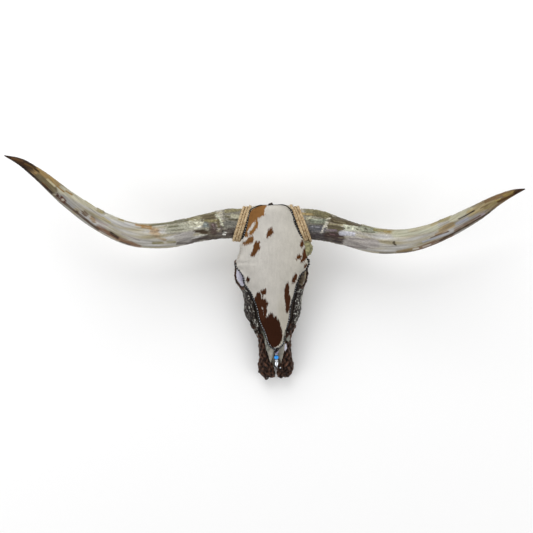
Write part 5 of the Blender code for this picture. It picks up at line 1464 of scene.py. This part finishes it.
def tooling(spots, side):
    """Height of the tooled leaves at points, 0 in the ground to 1, and how rubbed each one is."""
    local = spots - POLL
    turn = np.arctan2(local[:, 2] - CHEEK_AXIS, np.abs(local[:, 0]))
    u, v = local[:, 1], turn * CHEEK_AXIS
    height = np.zeros(len(spots))
    rubbed = np.full(len(spots), 0.5)
    draw = np.random.default_rng(5 if side < 0 else 6)
    for row in range(-LEAF_ROWS, LEAF_ROWS + 1):
        for column in range(LEAF_COLUMNS):
            middle_u = LEAF_START_Y - column * LEAF_PITCH * 0.80 + LEAF_STRAY * draw.normal()
            middle_v = (row * LEAF_PITCH + (column % 2) * LEAF_PITCH / 2
                        + LEAF_STRAY * draw.normal())
            slant = math.radians(35 if (row + column) % 2 else -40) + 0.5 * draw.normal()
            long = LEAF_LONG + 0.002 * draw.random()
            wide = LEAF_WIDE + 0.0012 * draw.random()
            worn = LEAF_WORN[draw.integers(4)]
            du, dv = u - middle_u, v - middle_v
            a = du * math.cos(slant) + dv * math.sin(slant)
            b = -du * math.sin(slant) + dv * math.cos(slant) + LEAF_BEND * a * a
            leaf = np.clip(1 - (a / long) ** 2 - (np.abs(b) / wide) ** 1.4, 0, 1) ** 0.45
            rubbed = np.where(leaf > height, worn, rubbed)
            height = np.maximum(height, leaf)
    return height, rubbed


def cheek(side, material):
    """Tooled leather over one cheek, with a lumpy outline."""
    name = "left" if side < 0 else "right"
    panel = refined("cheek_tooling_" + name, "cheek_leather_" + name, 0.0010, 4, material)
    spots = spots_of(panel)
    facing = normals_of(panel)
    outer = np.clip(facing[:, 0] * side * 2 + 1.0, 0, 1)
    height, rubbed = tooling(spots, side)
    lift = TOOLING_RISE * height - 0.0008 + 0.0012 * ripple(spots, 0.013, 13)
    moved_to(panel, spots + facing * (lift * outer)[:, None])
    note(panel, "relief", height * outer)
    note(panel, "rubbed", rubbed * CHEEK_RUB[side])
    placed(panel, "tooled_leather", "cheek_leather_" + name)


def lean(y):
    """How far the muzzle leans to the right at y."""
    return MUZZLE_LEAN * np.clip((LEAN_START - y) / LEAN_RUN, 0.0, 1.0)


def wrap_points(side, y, turn, lift):
    """Points and outward directions on one muzzle wrap, at y and at angles round it."""
    rows = through(WRAP, y)
    inner, outer, low, high = rows[:, 1], rows[:, 2].copy(), rows[:, 3], rows[:, 4]
    if side > 0:
        outer -= WAIST * np.exp(-((y - WAIST_Y) / WAIST_RUN) ** 2)
    cos, sin = np.cos(turn), np.sin(turn)
    wide, tall = (outer - inner) / 2, (high - low) / 2
    x = (inner + outer) / 2 + wide * np.sign(cos) * np.abs(cos) ** 0.8
    z = (low + high) / 2 + tall * np.sign(sin) * np.abs(sin) ** 0.8
    out = np.column_stack([side * cos / wide, np.zeros(len(y)), sin / tall])
    out = unit(out)
    spots = np.column_stack([side * x + lean(y), y, z]) + POLL + out * np.asarray(lift)[:, None]
    return spots, out


STRANDS = 8             # laces each way round
BRAID_STEPS = 190
BRAID_TURNS = 1.35      # of each lace round the muzzle, end to end
BRAID_WIDE = 0.0070
BRAID_THICK = 0.0044
BRAID_LIFT = 0.0022     # how far a lace rises and sinks as it weaves
KNOTS_LOW = 26          # knotted ends below, and a row of knots above
KNOTS_HIGH = 9

# Loose loops of lace at the right-hand knot: middle, half sizes, thickness.
MUZZLE_LOOPS = (
    ((0.0505, -0.4964, 0.047), (0.0052, 0.0105, 0.0030), 0.0030),
    ((0.0150, -0.5020, 0.061), (0.0080, 0.0095, 0.0020), 0.0036),
)
MUZZLE_BEAD = (0.0185, -0.5015, 0.062)


def muzzle_wrap(side, material, silver):
    """Braided leather lace round one side of the muzzle, with a knotted end."""
    name = "left" if side < 0 else "right"
    core = refined("wrap_core_" + name, "muzzle_wrap_" + name, 0.0016, 3, material)
    moved_to(core, spots_of(core) - normals_of(core) * 0.0030)
    placed(core, "braided_leather", "muzzle_wrap_" + name)

    draw = np.random.default_rng(21 if side < 0 else 22)
    parts, shades = [], []
    y = np.linspace(WRAP[0][0] + 0.003, WRAP[-1][0] + 0.003, BRAID_STEPS)
    share = np.linspace(0, 1, BRAID_STEPS)
    sweep = BRAID_TURNS * math.tau
    for hand in (-1, 1):
        for k in range(STRANDS):
            turn = math.tau * k / STRANDS + hand * sweep / 2 * share
            weave = hand * np.cos(STRANDS * sweep / 2 * share)
            wobble = 0.0005 * np.sin(share * 70 + 6 * draw.random())
            spots, out = wrap_points(side, y, turn, -BRAID_LIFT + BRAID_LIFT * weave + wobble)
            parts.append(strap(spots, out, BRAID_WIDE * (0.85 + 0.3 * draw.random()), BRAID_THICK))
            # painted shade and light: a lace is darker where it sinks under the others and lighter
            # where it lies on top; the random part is the lace's own tone
            worn = np.clip(0.02 + 0.50 * draw.random() + 0.45 * weave, 0, 1)
            shades.append(np.repeat(worn, 8))
    spread = [(WRAP[-1][0] + 0.001 + 0.036 * draw.random(), draw.random() * math.tau)
              for _ in range(KNOTS_LOW)]
    spread += [(WRAP[0][0] + 0.002 + 0.006 * draw.random(), 0.2 + 2.6 * k / 8)
               for k in range(KNOTS_HIGH)]
    for at, around in spread:
        spot, out = wrap_points(side, np.array([at]), np.array([around]), np.array([-0.0030]))
        axis = Vector(out[0]) + Vector(draw.normal(size=3) * 0.5)
        parts.append(torus(spot[0], axis, 0.0048 + 0.0022 * draw.random(), 0.0044, 7, 16, 0.72))
        shades.append(draw.random() ** 2)
    if side > 0:
        turns = np.linspace(0, math.tau, 37)
        for middle, half, thick in MUZZLE_LOOPS:
            ring = np.column_stack([np.cos(turns), np.sin(turns), np.cos(turns)]) * half
            parts.append(strap(ring + middle + POLL, ring, thick, thick))
            shades.append(0.35)
        bead = egg(POLL + MUZZLE_BEAD, (0.0032, 0.0032, 0.0032), 14, 8)
        placed(gathered("muzzle_bead", [bead], silver), "silver")
    placed(gathered("wrap_braid_" + name, parts, material, shades), "braided_leather")


def leather_patch(name, outline, drop, material, trees, side=0):
    """A thin piece of leather under the given outline of the picture, tooled if given a side."""
    corners = np.array(outline, dtype=float).reshape(-1, 2)
    low, high = corners.min(0), corners.max(0)
    across, down = np.meshgrid(np.arange(low[0], high[0] + PATCH_STEP, PATCH_STEP),
                               np.arange(low[1], high[1] + PATCH_STEP, PATCH_STEP))
    spots = np.column_stack([across.ravel(), down.ravel()])
    kept = outline_distance(spots, outline) < 0
    scale = PIXEL / (CAMERA_AT.z - BROW_HEIGHT)
    cos, sin = math.cos(CAMERA_TURN), math.sin(CAMERA_TURN)
    right, up = (spots[:, 0] - PICTURE / 2) * scale, (PICTURE / 2 - spots[:, 1]) * scale
    aim = np.column_stack([right * cos - up * sin, right * sin + up * cos, -np.ones(len(spots))])
    top = np.zeros((len(spots), 3))
    for k in np.flatnonzero(kept):
        hits = [hit for hit in (tree.ray_cast(CAMERA_AT, Vector(aim[k]))[0] for tree in trees)
                if hit]
        best = max(hits, key=lambda hit: hit.z) if hits else None
        kept[k] = best is not None
        if hits:
            top[k] = best
    heights = top[:, 2].reshape(across.shape)
    known = kept.reshape(across.shape)
    heights[~known] = heights[known].mean()
    for _ in range(30):
        heights = np.where(known, np.maximum(beside(heights) / 4, heights - 0.0002), heights)
    top[:, 2] = heights.ravel() + drop
    index = np.cumsum(kept) - 1
    width = across.shape[1]
    faces = []
    for r in range(across.shape[0] - 1):
        for c in range(width - 1):
            quad = (r * width + c, r * width + c + 1, (r + 1) * width + c + 1, (r + 1) * width + c)
            if all(kept[q] for q in quad):
                faces.append(tuple(int(index[q]) for q in quad))
    patch = shown(name, top[kept], faces, material)
    wall = patch.modifiers.new("wall", "SOLIDIFY")
    wall.thickness = PATCH_THICK
    wall.offset = 0.0
    settled(patch)
    if side:
        spots = spots_of(patch)
        height, rubbed = tooling(spots, side)
        moved_to(patch, spots + height[:, None] * np.array((side * 0.0008, 0.0, 0.0014)))
        note(patch, "relief", height)
        note(patch, "rubbed", rubbed * CHEEK_RUB[side])
    placed(patch, "tooled_leather")


def egg(middle, size, segments=24, rings=14, swell=0.0):
    """Points and faces of a rounded bead with the given half sizes."""
    verts = [Vector((0, 0, 1)), Vector((0, 0, -1))]
    faces = []
    for r in range(1, rings):
        t = math.pi * r / rings
        for s in range(segments):
            w = math.tau * s / segments
            puff = 1 + swell * math.cos(5 * w + 2 * t)
            verts.append(Vector((math.sin(t) * math.cos(w) * puff, math.sin(t) * math.sin(w) * puff,
                                 math.cos(t))))
    for s in range(segments):
        after = (s + 1) % segments
        faces.append((0, 2 + s, 2 + after))
        last = 2 + (rings - 2) * segments
        faces.append((1, last + after, last + s))
        for r in range(rings - 2):
            a, b = 2 + r * segments + s, 2 + r * segments + after
            faces.append((a, a + segments, b + segments, b))
    return np.array([tuple(Vector(middle) + Vector(v[k] * size[k] for k in range(3)))
                     for v in verts]), faces


def middle_and_half(node):
    """The middle and the half sizes of a solid's box."""
    low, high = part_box(node)
    return (low + high) / 2, (high - low) / 2


def pendant(glass, stone, silver, lace):
    """The short beaded strip that hangs from the tip of the hide."""
    middle, half = middle_and_half("pendant_bead")
    placed(gathered("lavender_bead", [egg(middle, half)], glass), "bead", "pendant_bead")
    middle, half = middle_and_half("pendant_ring")
    rings = [torus(middle, (0, 1, 0), half.z * 0.72, half.y * 1.1, 8, 20)]
    rings.append(egg(middle, (half.x * 0.5, half.y, half.z * 0.5), 12, 8))
    placed(gathered("silver_spacer", rings, silver), "silver", "pendant_ring")
    middle, half = middle_and_half("pendant_turquoise")
    placed(gathered("turquoise_stone", [egg(middle, half, 24, 14, 0.035)], stone), "turquoise",
           "pendant_turquoise")
    middle, half = middle_and_half("pendant_charm")
    cap = middle + Vector((0, half.y * 0.80, 0.0))
    charm = [egg(cap, (half.x * 0.80, 0.0030, half.x * 0.62), 16, 10)]
    outline = ((0.75, 0.30), (0.55, 0.55), (0.20, 0.78), (-0.15, 0.86), (-0.50, 0.62),
               (-0.85, 0.26), (-1.0, 0.02))
    verts, faces = [], []
    for y, wide in outline:
        for k in range(12):
            t = math.tau * k / 12
            ridge = 1 + 0.6 * math.exp(-((t - math.pi / 2) / 0.35) ** 2)
            verts.append((middle.x + half.x * wide * math.cos(t), middle.y + half.y * y,
                          middle.z - half.z * 0.2 + 0.0022 * wide * math.sin(t) * ridge))
    for r in range(len(outline) - 1):
        for k in range(12):
            a, b = r * 12 + k, r * 12 + (k + 1) % 12
            faces.append((a, b, b + 12, a + 12))
    faces.append(tuple(range(12)))
    faces.append(tuple((len(outline) - 1) * 12 + k for k in range(12)))
    charm.append((np.array(verts), faces))
    placed(gathered("silver_charm", charm, silver), "silver", "pendant_charm")

    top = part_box("pendant_bead")[1]
    knot = [torus((top.x - 0.0030 - 0.0036 * k, top.y + 0.0010 - 0.0040 * k, top.z + 0.0006),
                  (0.5, 0.3 + k, 1),
                  0.0034, 0.0034, 8, 16, 0.8) for k in range(3)]
    placed(gathered("pendant_knot", knot, lace), "braided_leather")

    low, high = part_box("pendant_strip")
    rows = np.linspace(0, 1, 60)
    tall = high.z + (low.z - high.z) * rows
    parts = []
    for hand in (-1, 1):
        wave = (high.x - low.x) * 0.27 * np.sin(rows * 5 * math.tau) * hand
        spots = np.column_stack([(low.x + high.x) / 2 + wave, high.y + (low.y - high.y) * rows,
                                 tall - 0.0006 + hand * 0.0005 * np.cos(rows * 10 * math.pi)])
        out = np.tile(np.array((0.0, 0.35, 1.0)), (60, 1))
        parts.append(strap(spots, out, 0.0044, 0.0018))
    placed(gathered("pendant_lace", parts, lace), "braided_leather", "pendant_strip")


def loop(material):
    """The small leather loop behind the poll."""
    middle, half = middle_and_half("hanging_loop")
    middle.x -= 0.0025
    rise = half.z - 0.0035
    turns = np.linspace(0, math.tau, 73)[:-1]
    ring = np.column_stack([middle.x + 0.0062 * np.cos(turns), np.full(72, middle.y),
                            middle.z + rise * np.sin(turns)])
    ring = np.vstack([ring, ring[:1]])
    out = np.column_stack([np.cos(np.append(turns, 0)), np.zeros(73), np.sin(np.append(turns, 0))])
    parts = [strap(ring, out, 0.0046, 0.0034)]
    for k in range(5):
        height = middle.z + rise - 0.004 - 0.0035 * k
        parts.append(torus((middle.x, middle.y, height), (0, 0, 1), 0.0052, 0.0024, 7, 18, 0.45))
    dome = (middle.x, middle.y, middle.z + rise - 0.001)
    parts.append(egg(dome, (0.0068, 0.0038, 0.0036), 20, 10))
    placed(gathered("loop_lace", parts, material), "braided_leather", "hanging_loop")


def lining(side, skull, material, inner):
    """Leather that lines the eye socket, laid on the bone; the part nearer the hide may differ."""
    name = "left" if side < 0 else "right"
    middle = np.array((side * SOCKET[0] + SOCKET_SHIFT, SOCKET[1], SOCKET[2])) + POLL
    spots = spots_of(skull)
    facing = normals_of(skull)
    away = (spots - middle) / np.array(SOCKET_REACH)
    near = (away ** 2).sum(1) < 1
    away_x = side * (spots[:, 0] - POLL[0])
    split = (away_x < LINING_SPLIT) if inner else np.zeros(len(spots), dtype=bool)
    for wanted, stuff, label in ((near & ~split, material, "outer"),
                                 (near & split, inner, "inner")):
        faces = [tuple(face.vertices) for face in skull.data.polygons
                 if all(wanted[k] for k in face.vertices)]
        if not faces:
            continue
        used = sorted({k for face in faces for k in face})
        index = {k: n for n, k in enumerate(used)}
        shape = bpy.data.meshes.new("socket_lining")
        shape.from_pydata([tuple(map(float, spots[k] + 0.0004 * facing[k])) for k in used], [],
                          [tuple(index[k] for k in face) for face in faces])
        shape.materials.append(stuff)
        shape.polygons.foreach_set("use_smooth", [True] * len(shape.polygons))
        cup = bpy.data.objects.new("socket_lining_%s_%s" % (name, label), shape)
        bpy.context.scene.collection.objects.link(cup)
        wall = cup.modifiers.new("wall", "SOLIDIFY")
        wall.thickness = LINING_THICK
        wall.offset = 1.0
        settled(cup)
        height, rubbed = tooling(spots_of(cup), side)
        note(cup, "relief", height)
        note(cup, "rubbed", rubbed)
        placed(cup, "tooled_leather")


# Floor, light and camera: each lamp's name, place, size in metres and power in watts
LAMPS = (("key", (-0.5, 2.5, 2.4), 2.4, 58.0), ("left", (-3.0, -0.9, 2.4), 2.4, 28.0),
         ("right", (3.0, -1.1, 2.4), 2.4, 28.0))
ROOM_LIGHT = 0.66


def studio():
    """A plain matt white floor under soft, even light, and the camera straight above."""
    stuff, _, _ = plain("pale floor", "#f6f6f6", 0.9)
    corners = [(x * FLOOR_HALF, y * FLOOR_HALF, -0.0002) for x,
               y in ((-1, -1), (1, -1), (1, 1), (-1, 1))]
    shown("floor", corners, [(0, 1, 2, 3)], stuff)
    world = bpy.data.worlds.new("room")
    bpy.context.scene.world = world
    world.use_nodes = True
    sky = world.node_tree.nodes["Background"]
    sky.inputs["Color"].default_value = (1.0, 1.0, 1.0, 1.0)
    sky.inputs["Strength"].default_value = ROOM_LIGHT
    for name, spot, size, power in LAMPS:
        lamp = bpy.data.lights.new(name, "AREA")
        lamp.shape = "SQUARE"
        lamp.size = size
        lamp.energy = power
        holder = bpy.data.objects.new(name, lamp)
        holder.location = spot
        holder.rotation_euler = (-Vector(spot)).to_track_quat("-Z", "Y").to_euler()
        bpy.context.scene.collection.objects.link(holder)
    lens = bpy.data.cameras.new("camera")
    lens.sensor_width = SENSOR
    lens.lens = SENSOR * (CAMERA_AT.z - BROW_HEIGHT) / (PICTURE * PIXEL)
    camera = bpy.data.objects.new("camera", lens)
    camera.location = CAMERA_AT
    camera.rotation_euler = (0.0, 0.0, CAMERA_TURN)
    bpy.context.scene.collection.objects.link(camera)
    bpy.context.scene.camera = camera
    bpy.context.scene.view_settings.view_transform = "Standard"


def dress():
    """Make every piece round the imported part."""
    skull, skull_tree = bone(dry_bone())
    placed(skull, "bone", "cranium")
    sheath = horn_sheath()
    for side, node in ((-1, "horn_left"), (1, "horn_right")):
        placed(horn(side, sheath), "horn", node)

    grid = hide_grid(skull_tree, surface_of(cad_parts["hide_panel"]))
    skin, facing, marks = hide(grid, cowhide("cowhide", 0.5))
    placed(skin, "cowhide", "hide_panel")
    placed(hair(grid, facing, marks, cowhide("cow hair", 0.15)), "cowhide")

    silver = polished_silver()
    black = leather("black lace", "#0c0a09", "#2b2523", 0.38, 0.0009)
    brown = leather("braided leather", "#160c07", "#4b3327", 0.40, 0.0010)
    stitches = stitch_tree()
    for side in (-1, 1):
        edge_lacing(side, stitches, black, silver)
        rim_lacing(side, brown)
    ropes(rope_tree(), sisal())
    tooled = tooled_leather()
    lavender = socket_leather("lavender lining", "#b1afbc", "#c8c6d3")
    for side in (-1, 1):
        cheek(side, tooled)
        muzzle_wrap(side, brown, silver)
    under = [surface_of(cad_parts[node]) for node in (
        "cranium", "muzzle_wrap_left", "muzzle_wrap_right", "cheek_leather_left",
        "cheek_leather_right")]
    grey = socket_leather("grey smooth leather", "#60625a", "#8b8c82")
    for number, outline in enumerate(GREY_PATCHES):
        leather_patch("grey_patch_%d" % (number + 1), outline, PATCH_LIFT, grey, under)
    for side, outline in CHEEK_TIPS:
        leather_patch("cheek_tip_left" if side < 0 else "cheek_tip_right", outline, CHEEK_TIP_LIFT,
                      tooled, under, side)
    leather_patch("lavender_patch", LAVENDER_PATCH, PATCH_LIFT, lavender, under)
    lining(-1, skull, lavender, None)
    lining(1, skull, socket_leather("tan lining", "#8a7a60", "#b5a88a"),
           socket_leather("brown lining", "#2e241b", "#75654e"))
    # lavender glass, moulded and clear-coated: dark inside with a sharp highlight
    glass, _, shine = plain("lavender glass", "#8f89a6", 0.12)
    shine.inputs["Coat Weight"].default_value = 0.6
    pendant(glass, turquoise(), silver, black)
    loop(brown)


dress()
studio()
bpy.context.view_layer.update()
